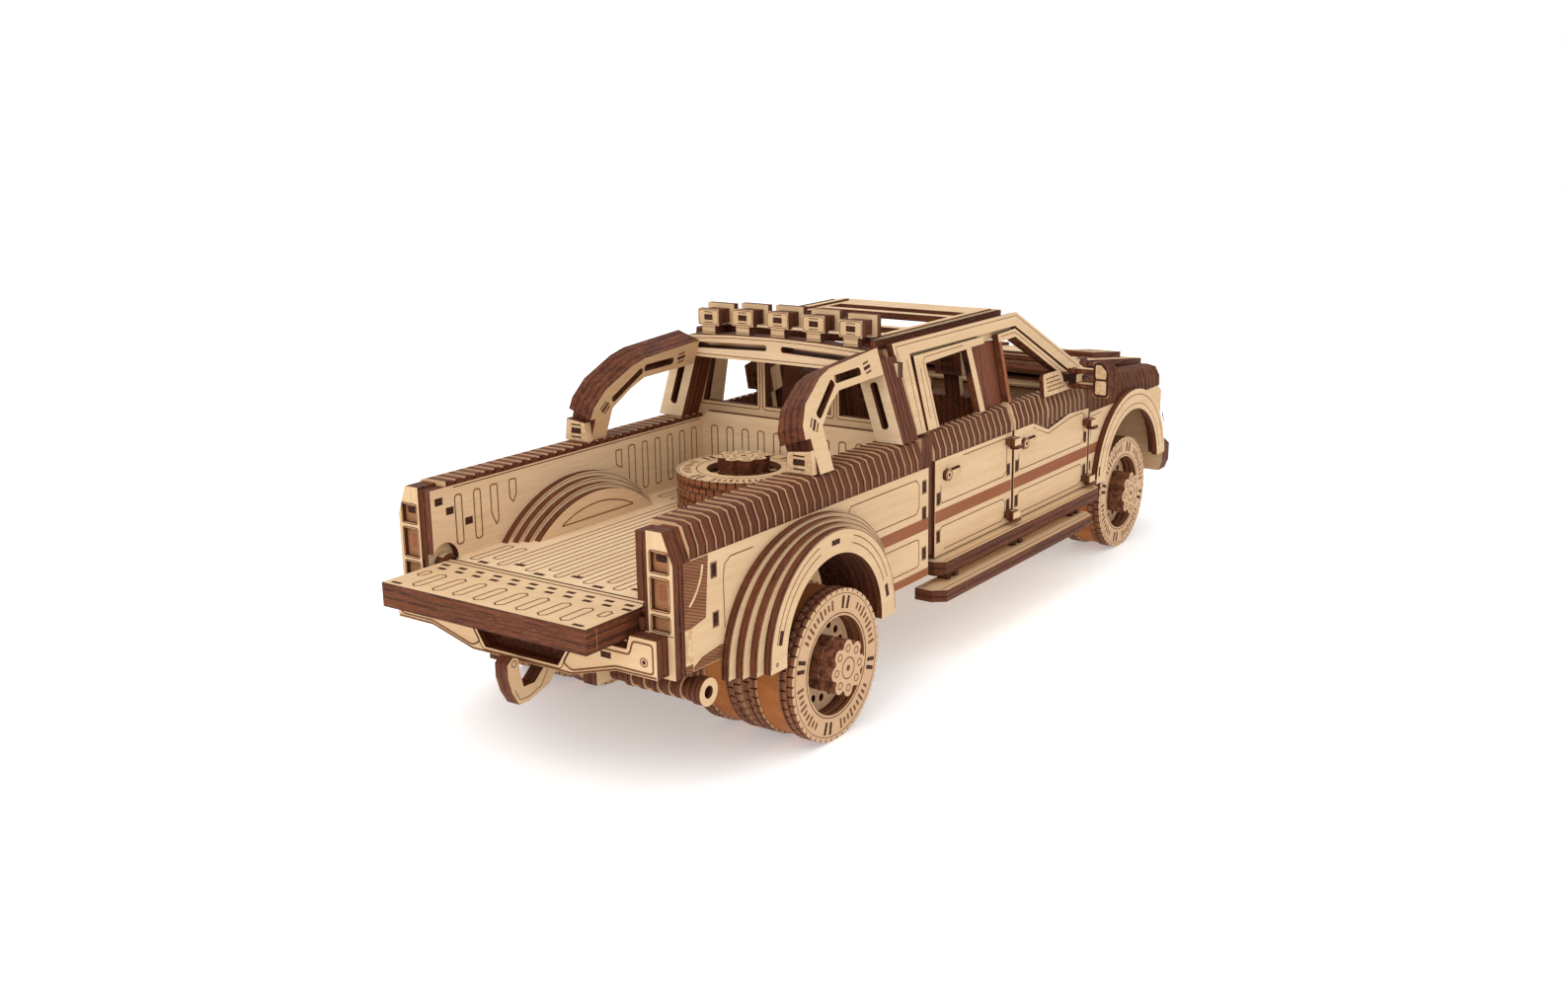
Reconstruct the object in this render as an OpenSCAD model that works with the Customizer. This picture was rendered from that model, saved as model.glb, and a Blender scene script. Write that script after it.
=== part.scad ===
// Plywood pickup truck kit: crew cab, dual rear wheels, open tailgate.
// +X is the front of the truck, +Y its left side, +Z is up. Every sheet part is one ply thick
// or a stack of plies, and the ground is the plane z = 0.

/* [Sheet] */
// Thickness of one plywood sheet
ply = 3; // [2.9:0.05:3]

/* [Wheels] */
// Tyre radius
tyre_r = 28.8; // [28:0.1:28.8]
// Radius of the opening in the wheel face
rim_r = 18.7; // [16:0.1:19]
// Rear axle, distance ahead of the tail lamps
rear_axle_x = 78; // [77:0.5:79]
// Front axle, distance ahead of the tail lamps
front_axle_x = 374; // [373:0.5:375]
// Outer face of the rear tyres from the centre plane
rear_face_y = 77; // [76:0.5:77]
// Outer face of the front tyres from the centre plane
front_face_y = 60; // [59:0.5:60]
// Radius of the rear axle shaft
shaft_r = 3; // [2.5:0.1:3]
// Running clearance of every shaft and pin, on the radius
run_gap = 0.06; // [0.04:0.01:0.08]

/* [Bed] */
// Outer face of the bed sides from the centre plane
flank_y = 65; // [65:0.5:66]
// Inner face of the bed walls from the centre plane
bed_wall_y = 48.7; // [48.5:0.1:49]
// Top of the bed floor
bed_floor_z = 66.8; // [66:0.1:67]
// Rear face of the wall at the front of the bed
bed_front_x = 162; // [161:0.5:162]
// Top edge of the side panels
belt_z = 84.5; // [84:0.5:85]
// Top of the slatted belt
slat_top_z = 96.5; // [96:0.5:97]
// Distance from one slat to the next
slat_pitch = 4.9; // [4.8:0.05:5]

/* [Tailgate] */
// Length of the tailgate from its hinge end to its top edge
gate_len = 33; // [30:0.5:33]
// Half width of the tailgate
gate_half = 48.2; // [47:0.1:48.2]
// Hinge pin of the tailgate: place along X
gate_pin_x = 7.5; // [7:0.5:8]
// Hinge pin of the tailgate: height
gate_pin_z = 65.5; // [65:0.5:66]

/* [Cab] */
// Outer face of the doors from the centre plane
door_y = 62; // [61.5:0.5:62]
// Lean of the side windows towards the roof, in degrees
lean = 12.4; // [12:0.1:13]
// Roof height
roof_z = 133.5; // [133:0.5:134]
// Rear edge of the rear door
door_a = 175.5; // [175:0.5:176]
// Gap line between the doors
door_b = 245.5; // [245:0.5:246]
// Front edge of the front door
door_c = 325; // [324:0.5:325]

/* [Hidden] */
face = "burlywood";
edge = "saddlebrown";
eps = 0.05;                        // overshoot of a cut past the face it leaves
slack = 0.3;                       // air between two parts that move past each other
lamp_depth = 3 * ply;
gate_thick = 3 * ply;
gate_end_x = gate_pin_x + 1 - gate_len;
nose_x = 434;                      // front of the front bumper
mid_x = (nose_x + gate_end_x) / 2; // middle of the length, where the origin is
axle_z = tyre_r;
wheel_w = 22;                      // width of one tyre
hub_proud = 5;                     // how far the lobed hubs stand out of the tyre face
pin_r = 1.25;
pin_ply = 2.2;                     // thickness of the ply that holds the tailgate pins
hinge_in = 2.4;                    // door pin, behind the front edge of its door
hinge_out = 2.6;                   // door pin, outside the skin of its door
wall_top_z = 94.4;
lean_z = 97;                       // height where the side windows start to lean
lean_y = door_y - 4;               // outer face of the window frames at that height
king_y = 34;                       // steering pivot from the centre plane
arm = 14;                          // length of the steering arm
gap_x = 1;                         // half the gap between the doors
spare_x = 131.5;
spare_y = 3.5;

// ---- Building helpers ----
module place() { translate([-mid_x, 0, 0]) children(); }
module both() { children(); mirror([0, 1, 0]) children(); }
// A flat outline in X and Z, t thick, starting at y
module xz(y, t = ply) { translate([0, y + t, 0]) rotate([90, 0, 0]) linear_extrude(t) children(); }
// A flat outline in Y and Z, t thick, starting at x
module yz(x, t = ply) { translate([x, 0, 0]) rotate([90, 0, 90]) linear_extrude(t) children(); }
// A flat outline in X and Y, t thick, starting at z
module xy(z, t = ply) { translate([0, 0, z]) linear_extrude(t) children(); }
// A round rod along Y from y0 to y1
module rod_y(x, y0, y1, z, r) { translate([x, y0, z]) rotate([-90, 0, 0]) cylinder(h = y1 - y0, r = r, $fn = 48); }
// A straight slot with cut corners between two points of an outline, w wide
module strip(p, q, w) {
    d = q - p;
    h = w / 2;
    far = norm(d) + h;
    translate(p) rotate(atan2(d[1], d[0]))
        polygon([[-h, -h / 2], [-h / 2, -h], [far - h / 2, -h], [far, -h / 2], [far, h / 2], [far - h / 2, h],
            [-h / 2, h], [-h, h / 2]]);
}
// A box between two corners
module block(a, b) { translate(a) cube(b - a); }
// Tilts side-window parts: outlines use x and the height above the belt, y counts from the frame face
module leaned() { translate([0, lean_y, lean_z]) rotate([lean, 0, 0]) children(); }

// ---- Wheels ----
// One tyre ring with its tread packs and the smooth band between, axis along Z, face at z = 0
module tyre() {
    difference() {
        union() {
            translate([0, 0, -2 * ply]) cylinder(h = 2 * ply, r = tyre_r, $fn = 96);
            translate([0, 0, 2 * ply - wheel_w]) cylinder(h = wheel_w - 4 * ply, r = tyre_r - 0.9, $fn = 96);
            translate([0, 0, -wheel_w]) cylinder(h = 2 * ply, r = tyre_r, $fn = 96);
        }
        translate([0, 0, -wheel_w - eps]) cylinder(h = wheel_w + 2 * eps, r = rim_r, $fn = 96);
    }
}
// The dish, its vent holes and the lobed hub, recessed in the rim
module dish(bore_r, bore_len) {
    dish_z = -7;
    difference() {
        union() {
            translate([0, 0, -wheel_w]) cylinder(h = wheel_w + dish_z, r = rim_r, $fn = 96);
            translate([0, 0, dish_z]) linear_extrude(hub_proud - dish_z) lobes(8.2, 2.7);
        }
        for (a = [22.5 : 45 : 359]) rotate(a) translate([14.2, 0, dish_z - ply])
            cylinder(h = ply + eps, r = 2.1, $fn = 24);
        translate([0, 0, -wheel_w - eps]) cylinder(h = bore_len + eps, r = bore_r, $fn = 48);
    }
}
// Outline of the hub: a disc with eight round lobes
module lobes(r, lobe_r) {
    circle(r = r, $fn = 48);
    for (a = [0 : 45 : 315]) rotate(a) translate([r, 0]) circle(r = lobe_r, $fn = 24);
}
module wheel(x, y, bore_r, bore_len) {
    translate([x, y, axle_z]) rotate([-90, 0, 0]) { tyre(); dish(bore_r, bore_len); }
}

// ---- Chassis ----
module chassis_frame() color(edge) place() both()
    xz(20, 2 * ply) polygon([[4, 34], [418, 34], [418, 42], [4, 42]]);
// Spars between the rails, and the bulkheads on top of them that carry the bed floor
module chassis_crossmembers() color(edge) place() {
    for (x = [12, 52, 105, 150, 200, 262, 320, 355, 400])
        yz(x) polygon([[-20, 35], [20, 35], [20, 41], [-20, 41]]);
    for (x = [16, 56, 109, 154]) yz(x) difference() {
        polygon([[-30, 42], [30, 42], [30, 63.8], [-30, 63.8]]);
        for (y = [-22, 0, 22]) translate([y, 53]) circle(r = 6, $fn = 48);
    }
}
module cab_floor() color(face) place() {
    xy(42) polygon([[169, -55.5], [330, -55.5], [330, 55.5], [169, 55.5]]);
    both() block([169, 48, 45], [322, 51, 52]);
}
module rear_axle_hangers() color(edge) place() both() xz(20, 2 * ply) difference() {
    polygon([[69, 34], [87, 34], [84, 23], [72, 23]]);
    translate([rear_axle_x, axle_z]) circle(r = shaft_r + run_gap, $fn = 48);
}
module front_axle_beam() color(edge) place() difference() {
    union() {
        block([371, -28, 25.3], [377, 28, 34]);
        both() for (z = [18.3, 36.3]) block([370.5, 26.5, z], [377.5, 36.6, z + ply]);
        both() block([370.5, 26.5, 18.3], [377.5, 29.5, 39.3]);
    }
    both() translate([front_axle_x, king_y, 0]) cylinder(h = 60, r = 2 + run_gap, $fn = 48);
}

// ---- Bed ----
module bed_floor() color(face) place() xy(bed_floor_z - ply)
    // the rear corners are cut away round the barrels of the tailgate
    polygon([[10, -47], [12, -47], [12, -bed_wall_y], [bed_front_x, -bed_wall_y], [bed_front_x, bed_wall_y],
        [12, bed_wall_y], [12, 47], [10, 47]]);
module bed_walls() color(face) place() both() {
    xz(bed_wall_y) difference() {
        polygon([[1, 60], [bed_front_x + ply, 60], [bed_front_x + ply, wall_top_z], [1, wall_top_z]]);
        translate([gate_pin_x - 0.8, gate_pin_z + 1.8]) circle(r = 6.4, $fn = 48);
    }
    // outer ply, which carries the tailgate pin
    xz(bed_wall_y + ply, pin_ply) difference() {
        polygon([[1, 60], [bed_front_x, 60], [bed_front_x, belt_z], [lamp_depth, belt_z],
            [lamp_depth, wall_top_z], [1, wall_top_z]]);
        translate([gate_pin_x, gate_pin_z]) circle(r = pin_r + run_gap, $fn = 48);
    }
}
module bed_front_wall() color(face) place() yz(bed_front_x)
    polygon([[-48.7, 60], [48.7, 60], [48.7, 94.4], [46, 97], [-46, 97], [-48.7, 94.4]]);
module wheel_tubs() color(face) place() both() for (i = [0 : 3])
    xz(bed_wall_y - (i + 1) * ply) intersection() {
        translate([rear_axle_x, axle_z]) circle(r = 57 - 2 * i, $fn = 96);
        translate([rear_axle_x - 60, bed_floor_z]) square([120, 60]);
    }
module bed_side_panels() color(face) place() both() xz(flank_y - ply) difference() {
    polygon([[lamp_depth, 45.5], [60, 45.5], [110, 38.5], [165, 38.5], [165, belt_z], [lamp_depth, belt_z]]);
    translate([rear_axle_x, 39.6]) circle(r = 36, $fn = 96);
}
// Profile of the bed slats in Y and Z
bed_profile = [[51.7, belt_z], [flank_y, belt_z], [flank_y - 0.2, 88.5], [flank_y - 3, 95.6],
    [flank_y - 6, slat_top_z], [bed_wall_y, slat_top_z], [bed_wall_y, wall_top_z], [51.7, wall_top_z]];
module bed_side_slats() color(edge) place() both() {
    n = 31;
    step = (162 - lamp_depth) / n;
    yz(lamp_depth, 162 - lamp_depth) polygon([[51.7, belt_z], [flank_y - 0.7, belt_z], [flank_y - 0.9, 88.3],
        [flank_y - 3.5, 95], [flank_y - 6.3, 95.8], [bed_wall_y, 95.8], [bed_wall_y, wall_top_z],
        [51.7, wall_top_z]]);
    for (i = [0 : n - 1]) yz(lamp_depth + i * step, step * 0.58) polygon(bed_profile);
}
module lamp_outline() polygon([[54, 45], [64.9, 45], [64.9, 84.5], [60.6, 95.3], [54, 95.3]]);
module tail_lamps() color(face) place() both() {
    yz(0) difference() {
        lamp_outline();
        for (w = [[61.3, 66.5], [68.5, 79.4], [81.5, 88.5]])
            translate([55.5, w[0]]) square([7.4, w[1] - w[0]]);
    }
    yz(ply, 2 * ply) lamp_outline();
}
// Outer edge of ply i of the rear arch, at angle t: the inner plies spread out at their feet
function flare_r(i, t) = 44.4 - 1.3 * i + (9.2 - 2.8 * i) * pow(cos(t), 2);
module rear_flares() color(edge) place() both() for (i = [0 : 3])
    xz(flank_y + i * ply) translate([rear_axle_x, 39.6]) difference() {
        polygon([[flare_r(i, 0), -1.8], for (t = [0 : 3 : 180]) flare_r(i, t) * [cos(t), sin(t)],
            [-flare_r(i, 0), -1.8]]);
        circle(r = 31.5, $fn = 96);
    }
module rear_bumper() color(face) place() yz(-2 * ply, 2 * ply) difference() {
    polygon([[-62, 46.5], [-62, 60], [-50.5, 60], [-49, 55], [49, 55], [50.5, 60], [62, 60], [62, 46.5],
        [44, 46.5], [24, 41], [-24, 41], [-44, 46.5]]);
    polygon([[-17.5, 43], [17.5, 43], [21.5, 49], [-21.5, 49]]);
}
module tow_hook() color(face) place() xz(-ply, 2 * ply) difference() {
    polygon([[-9, 41], [12, 41], [12, 36], [8, 34], [4, 30], [-6, 27], [-11, 27], [-14, 32], [-15.8, 38],
        [-15.8, 43], [-13, 45], [-10.5, 44], [-10, 41]]);
    polygon([[-10, 46], [-10, 39], [-8.5, 33], [-3, 33], [3, 38], [3, 41.5], [-7, 41.5], [-7, 46]]);
}
module exhaust_pipe() color(edge) place() mirror([0, 1, 0]) difference() {
    union() {
        rod_y(14.5, 26, 66, 37, 3.6);
        for (y = [33, 39, 45, 50, 55, 60]) rod_y(14.5, y, y + ply, 37, 4.4);
        rod_y(14.5, 63, 67, 37, 5);
    }
    translate([14.5, 56, 37]) rotate([-90, 0, 0]) cylinder(h = 12, r = 2.3, $fn = 32);
}

// ---- Roll bar ----
hoop_lean = 18;      // lean of the roll bar towards the middle, in degrees
frame_x = 149;       // rear face of the cross frame that closes the hoops
// Tilts roll bar parts about the inner edge of their feet and cuts them level with the top of the slats
module hoop_leaned() intersection() {
    translate([0, 49.9, slat_top_z]) rotate([hoop_lean, 0, 0]) children();
    block([80, 20, slat_top_z], [frame_x + 20, 80, 150]);
}
// Each hoop is a bent arm in x and the height along its lean; a cross plate stands behind its foot
module roll_bar_hoops() color(face) place() both() {
    hoop_leaned() xz(0, 4 * ply) difference() {
        polygon([[90, -6], [90, 9.9], [86.8, 9.9], [87.4, 15], [92.5, 22.5], [106, 30.6], [113.5, 33],
            [frame_x, 36], [frame_x, 25.2], [116, 24], [108.6, 20.2], [99.5, 13], [99, -6]]);
        strip([99.5, 17.6], [112.5, 27], 3.2);
        strip([116.5, 28.4], [132, 28.9], 3.2);
    }
    yz(87) polygon([[49, 96.5], [61, 96.5], [60, 105.5], [50, 104.4]]);
}
// Cross frame: a beam on two slotted legs, and the two clamps that hold it to the cab
module roll_bar_header() color(face) place() {
    both() block([frame_x + 3 * ply, 45.5, 121], [161.8, 54.5, 127.2]);
    both() hoop_leaned() yz(frame_x, 4 * ply) difference() {
        polygon([[0, -6], [4 * ply, -6], [4 * ply, 31.2], [0, 31.2]]);
        strip([2 * ply, 5.5], [2 * ply, 21.5], 3.4);
    }
    yz(frame_x, 3 * ply) difference() {
        polygon([[-47.3, 124], [-51, 127.5], [-45, 132.8], [-22, 134], [0, 134.4], [22, 134], [45, 132.8],
            [51, 127.5], [47.3, 124], [35, 123.8], [0, 124], [-35, 123.8]]);
        for (s = [-1, 1]) strip([s * 5, 130], [s * 42, 128.8], 2.6);
    }
}
module spotlights() color(face) place() for (i = [-2 : 2]) translate([0, 18 * i, -0.24 * i * i]) {
    block([152, -3.5, 134.42], [155, 3.5, 139]);
    block([152, -5.5, 138], [155, 5.5, 145]);
    block([155, -4.5, 138.6], [161, 4.5, 144.4]);
    block([161, -7, 137.6], [164, 7, 146.4]);
}

// ---- Cab ----
module cab_rear_wall() color(face) place() {
    yz(166) difference() {
        polygon([[-55, 42], [55, 42], [55, 95.6], [54.6, 97], [47, 131], [-47, 131], [-54.6, 97], [-55, 95.6]]);
        polygon([[-17, 101], [17, 101], [17, 120.5], [-17, 120.5]]);
        both2() polygon([[21, 101], [51, 101], [45.5, 120.5], [21, 120.5]]);
    }
    both() block([166, 55, 45], [door_a - 0.8, door_y - 1, 95.6]);
}
module both2() { children(); mirror([1, 0]) children(); }
// Outer side frame: rear pillar, roof rail and windscreen pillar, in x and height above the belt
module cab_side_frames() color(face) place() both() leaned() {
    xz(-ply) polygon([[166, -0.5], [161, 38.2], [270, 38.2], [334, 0.5], [320, 0.5], [266.5, 32.2], [173, 32.6],
        [175, -0.5]]);
    xz(-2 * ply - 0.5, ply) polygon([[170, 2], [170, 36.6], [268, 36.6], [328, 1.5], [314, 1.5], [264, 28.8],
        [178, 29], [178, 2]]);
}
module roof_frame() color(face) place() {
    difference() {
        xy(roof_z - 1.6) polygon([[169.5, -42], [270, -42], [270, 42], [169.5, 42]]);
        xy(roof_z - 2.5, 6) polygon([[182, -34], [252, -34], [252, 34], [182, 34]]);
    }
    both() block([160, 40, roof_z - 2.4], [266, 43, roof_z + 1.8]);
    both() block([162, 37, roof_z + 1.4], [264, 40, roof_z + 2.4]);
    for (x = [196, 236]) block([x, -34, roof_z - 1.6], [x + 5, 34, roof_z + 1.4]);
    // windscreen frame, falling from the roof to the cowl
    translate([268, 0, roof_z - 1]) rotate([0, 31, 0]) xy(-ply) difference() {
        polygon([[0, -42.6], [66, -50], [66, 50], [0, 42.6]]);
        polygon([[6, -37.6], [60, -44], [60, 44], [6, 37.6]]);
    }
}
module b_pillars() color(edge) place() both() {
    block([228, 51.5, 45], [240, 54.5, 96.5]);
    leaned() xz(-6.5, ply) polygon([[226, 0], [227, 28.3], [254, 28.3], [254, 0]]);
}
module seat(x, y, w) translate([x, y, 0]) {
    block([0, -w / 2, 52], [26, w / 2, 58]);
    for (s = [-1, 1]) block([2, s * w / 4 - 1.5, 45], [22, s * w / 4 + 1.5, 52]);
    translate([0, 0, 58]) rotate([0, -12, 0]) {
        block([-1, -w / 2, 0], [5, w / 2, 38]);
        block([0, -4, 38], [3, 4, 50]);
        block([-2, -7, 49], [5, 7, 60]);
    }
}
module front_seats() color(face) place() for (s = [-1, 1]) seat(266, s * 24, 30);
module rear_bench() color(face) place() for (y = [-28, 0, 28]) seat(190, y, 26);
module cowl() color(face) place() {
    yz(336) polygon([[-49, 42], [49, 42], [49, 98.5], [-49, 98.5]]);
    block([325.5, -49, 95.5], [336, 49, 98.5]);
    both() xz(46.2) difference() {
        polygon([[339, 86], [350, 86], [350, 102.2], [341.5, 102.2], [339, 98.5]]);
        translate([hood_pin_x, hood_pin_z]) circle(r = pin_r + run_gap, $fn = 48);
    }
}
module dashboard() color(face) place() {
    block([322, -49, 68], [325, 49, 94]);
    block([315, -49, 91], [333, 49, 94]);
    block([312, -10, 62], [325, 10, 78]);
}
module fender_panels() color(face) place() both() xz(door_y - ply) difference() {
    polygon([[door_c + 1.6, 43], [417, 43], [417, 76], [412, 79], [door_c + 1.6, 79]]);
    translate([front_axle_x, 39.5]) circle(r = 36, $fn = 96);
}
// Slats over the fenders: the tops fall towards the nose
module fender_slats() color(edge) place() both() {
    n = 18;
    step = (416 - 327) / n;
    for (i = [0 : n - 1]) {
        drop = 7 * i / n;
        tall = [[50.3, 79], [door_y, 79], [door_y - 0.2, 87.5 - drop / 2], [door_y - 2.8, 95.6 - drop],
            [55, slat_top_z - drop], [50.3, slat_top_z - drop]];
        low = [[50.3, 79], [door_y - 0.7, 79], [door_y - 0.9, 87.3 - drop / 2], [door_y - 3.3, 95.1 - drop],
            [55.3, 95.9 - drop], [50.3, 95.9 - drop]];
        yz(327 + i * step, step * 0.58) polygon(tall);
        yz(327 + i * step, step) polygon(low);
    }
}
module front_flares() color(face) place() both() xz(door_y, ply) difference() {
    translate([front_axle_x, 39.5]) circle(r = 43.6, $fn = 96);
    translate([front_axle_x, 39.5]) circle(r = 33.5, $fn = 96);
    translate([front_axle_x - 60, -60]) square([120, 102.5]);
}
module nose_panel() color(face) place() {
    yz(417) difference() {
        polygon([[-58, 43], [58, 43], [58, 78], [54, 86], [48, 88], [-48, 88], [-54, 86], [-58, 78]]);
        polygon([[-34, 50], [34, 50], [34, 82], [-34, 82]]);
    }
    both() block([400, 20, 42], [417, 26, 60]);
}
module grille() color(edge) place() {
    yz(420) difference() {
        polygon([[-37, 48], [37, 48], [37, 85], [-37, 85]]);
        for (z = [52.5 : 6.4 : 78]) both2() polygon([[3, z], [32, z], [32, z + 3.6], [3, z + 3.6]]);
    }
}
module headlamps() color(face) place() both() {
    yz(420) difference() {
        polygon([[39, 62], [57, 62], [57, 77], [53, 84], [39, 84]]);
        for (z = [65, 74.5]) translate([42, z]) square([11, 6.5]);
    }
}
module front_bumper() color(face) place() {
    yz(420, 3 * ply) polygon([[-61, 31], [61, 31], [63, 36], [63, 45], [60, 47.5], [-60, 47.5], [-63, 45],
        [-63, 36]]);
    yz(429, nose_x - 429) difference() {
        polygon([[-52, 34], [52, 34], [54, 38], [54, 44], [-54, 44], [-54, 38]]);
        for (y = [-30, 0, 30]) translate([y - 9, 36.5]) square([18, 5]);
    }
}
module running_boards() color(face) place() both() {
    xy(36.3, 2 * ply) polygon([[172, 56], [172, 64], [175, 68], [326, 68], [330, 64], [330, 56]]);
    xy(28, 5) polygon([[163, 60], [163, 68], [167, 73], [308, 73], [313, 68], [313, 60]]);
    for (x = [180, 240, 300]) {
        block([x, 61, 33], [x + 3, 66, 36.3]);
        block([x + 6, 61, 33], [x + 9, 66, 36.3]);
        block([x + 3, 26, 36.3], [x + 6, 56, 42]);
    }
}
// Heights of the two hinges of a door
function hinge_zs(front) = [46, front ? 74 : 79.5];
// Hinge post of a door with two tongues through the door gap, each with a pin that points up
module hinge_bracket(x) {
    zs = hinge_zs(x > door_b);
    block([x + 0.4, 55.5, 43], [x + 1.2, 58.5, zs[1]]);
    for (z = zs) hinge_tongue(x, z);
}
module hinge_tongue(x, z) {
    block([x - hinge_in, door_y + 0.6, z - 2], [x + 1.2, door_y + hinge_out + 2.2, z - 0.4]);
    block([x + 0.4, 57, z - 2], [x + 1.2, door_y + hinge_out + 2.2, z - 0.4]);
    translate([x - hinge_in, door_y + hinge_out, z - 2]) cylinder(h = 1.6, r = 2.2, $fn = 32);
    translate([x - hinge_in, door_y + hinge_out, z - 0.41]) cylinder(h = 3.2, r = pin_r, $fn = 48);
}
module door_hinge_brackets() color(edge) place() both()
    for (x = [door_b - gap_x, door_c]) hinge_bracket(x);

// ---- Doors ----
// Top edge of a door skin, d behind the front edge of the door: the front door has a shallow V in it
function skin_top(d, dip) = !dip || d > 60 ? belt_z : d > 44 ? 79 + (d - 44) * (belt_z - 79) / 16 :
    d > 22 ? 82.5 - (d - 22) * 3.5 / 22 : 81.5 + d / 22;
module door_panel(x0, x1, dip) {
    xz(door_y - ply) {
        polygon([[x0, 43], [x1, 43], for (d = dip ? [0, 22, 44, 60] : [0]) [x1 - d, skin_top(d, dip)],
            [x0, belt_z]]);
    }
    xz(door_y - 2 * ply) polygon([[x0 + 2, 47], [x1 - 5, 47], [x1 - 5, 79], [x0 + 2, 79]]);
    // hinge knuckles, each with the bore of its pin
    for (z = hinge_zs(dip)) difference() {
        block([x1 - 6.5, door_y, z], [x1 - 0.3, door_y + 4.7, z + ply]);
        translate([x1 - hinge_in, door_y + hinge_out, z - eps])
            cylinder(h = ply + 2 * eps, r = pin_r + run_gap, $fn = 48);
    }
    // handle: a disc and a bar on the skin
    translate([x0 + 9.5, door_y, 77]) rotate([-90, 0, 0]) cylinder(h = 1.5, r = 2.6, $fn = 32);
    block([x0 + 12, door_y, 75.8], [x0 + 20, door_y + 1.5, 78.4]);
}
module left_rear_door_panel() color(face) place() door_panel(door_a, door_b - gap_x, false);
module right_rear_door_panel() color(face) place() mirror([0, 1, 0]) door_panel(door_a, door_b - gap_x, false);
module left_front_door_panel() color(face) place() door_panel(door_b + gap_x, door_c, true);
module right_front_door_panel() color(face) place() mirror([0, 1, 0]) door_panel(door_b + gap_x, door_c, true);

// Belt slats of a door, on top of its panel
module door_slats(x0, x1, dip) {
    n = round((x1 - x0) / slat_pitch);
    step = (x1 - x0) / n;
    for (i = [0 : n - 1]) {
        x = x0 + i * step;
        foot = max([for (k = [0 : 8]) skin_top(max(x1 - x - k * step / 8, 0), dip)]) + 0.03;
        tall = [[56, foot], [door_y, foot], [door_y - 0.2, 88.5], [door_y - 2.8, 95.6], [55.2, slat_top_z],
            [55.2, 88]];
        low = [[56, foot], [door_y - 0.7, foot], [door_y - 0.9, 88.3], [door_y - 3.3, 95.1], [55.2, 95.9],
            [55.2, 88]];
        yz(x, step * 0.58) polygon(tall);
        yz(x, step) polygon(low);
    }
}
module rear_door_frame() {
    door_slats(door_a, door_b - gap_x, false);
    leaned() xz(-ply) difference() {
        polygon([[177, -2], [175.5, 31.2], [236, 31.4], [235.4, 28.3], [223.6, 28.2], [226, -2]]);
        polygon([[186, -3], [184, 27], [219.2, 28], [221.8, -3]]);
    }
}
module front_door_frame() {
    door_slats(door_b + gap_x, door_c, true);
    leaned() xz(-ply) difference() {
        polygon([[248, -2], [249, 30.5], [266, 31], [317, 0.5], [317, -2]]);
        polygon([[250.6, -3], [251.4, 27], [265, 27.4], [303, 4.6], [303, -3]]);
    }
    // mirror base in the front corner of the window, and the lug that holds the mirror pin
    leaned() xz(0, 1.6) polygon([[284, -3], [288, 7], [305, 4], [309, -4]]);
    difference() {
        block([mirror_x - 3, 56, 98.3], [mirror_x + 3, mirror_y + 2.4, 102.1]);
        translate([mirror_x, mirror_y, 97]) cylinder(h = 7, r = pin_r + run_gap, $fn = 48);
    }
}
module left_rear_door_frame() color(face) place() rear_door_frame();
module right_rear_door_frame() color(face) place() mirror([0, 1, 0]) rear_door_frame();
module left_front_door_frame() color(face) place() front_door_frame();
module right_front_door_frame() color(face) place() mirror([0, 1, 0]) front_door_frame();

// ---- Moving parts ----
module tailgate() color(face) place() {
    block([gate_end_x, -gate_half, gate_pin_z - 7.5], [gate_pin_x + 1, gate_half, gate_pin_z + 1.5]);
    both() {
        rod_y(gate_pin_x, gate_half, bed_wall_y + ply - slack, gate_pin_z, 4);
        rod_y(gate_pin_x, gate_half, bed_wall_y + ply + pin_ply - 0.2, gate_pin_z, pin_r);
    }
}
hood_rear_x = 342;
hood_len = 78;
hood_fall = 7.2;
hood_pin_x = 345.5;
hood_pin_z = 99.5;
module hood_panel() color(face) place() {
    translate([hood_rear_x, 0, 101.5]) rotate([0, hood_fall, 0]) {
        block([0, -45.8, -ply], [12, 45.8, 0]);
        block([10, -49, -ply], [hood_len, 49, 0]);
        block([4, -20, 0], [hood_len - 3, 20, 1.5]);
        both() block([13, 45, -6], [hood_len - 3, 48, -ply]);
    }
    both() rod_y(hood_pin_x, 45.7, 49, hood_pin_z, pin_r);
}
module hood_vent() color(face) place() translate([hood_rear_x, 0, 101.5]) rotate([0, hood_fall, 0])
    both() difference() {
        block([30, 24, 0], [66, 42, ply]);
        for (x = [35 : 7 : 60]) block([x, 27, 1], [x + ply, 39, ply + 1]);
    }
module rear_axle_shaft() color(face) place()
    rod_y(rear_axle_x, -(rear_face_y - 5), rear_face_y - 5, axle_z, shaft_r);
module rear_outer_wheels() color(face) place() both() wheel(rear_axle_x, rear_face_y, shaft_r + 0.02, 18);
module rear_inner_wheels() color(face) place() both() translate([rear_axle_x, 53.5, axle_z]) rotate([-90, 0, 0]) {
    difference() {
        union() {
            tyre();
            translate([0, 0, -wheel_w + 2 * ply]) cylinder(h = 6, r = rim_r, $fn = 96);
            translate([0, 0, -wheel_w + 2 * ply]) cylinder(h = wheel_w - 2 * ply + 1.5, r = 8, $fn = 48);
        }
        translate([0, 0, -wheel_w - eps]) cylinder(h = wheel_w + 5, r = shaft_r + 0.02, $fn = 48);
    }
}
module left_front_wheel() color(face) place() wheel(front_axle_x, front_face_y, 2.5 + run_gap, 16);
module right_front_wheel() color(face) place() mirror([0, 1, 0]) wheel(front_axle_x, front_face_y, 2.5 + run_gap, 16);
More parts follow.
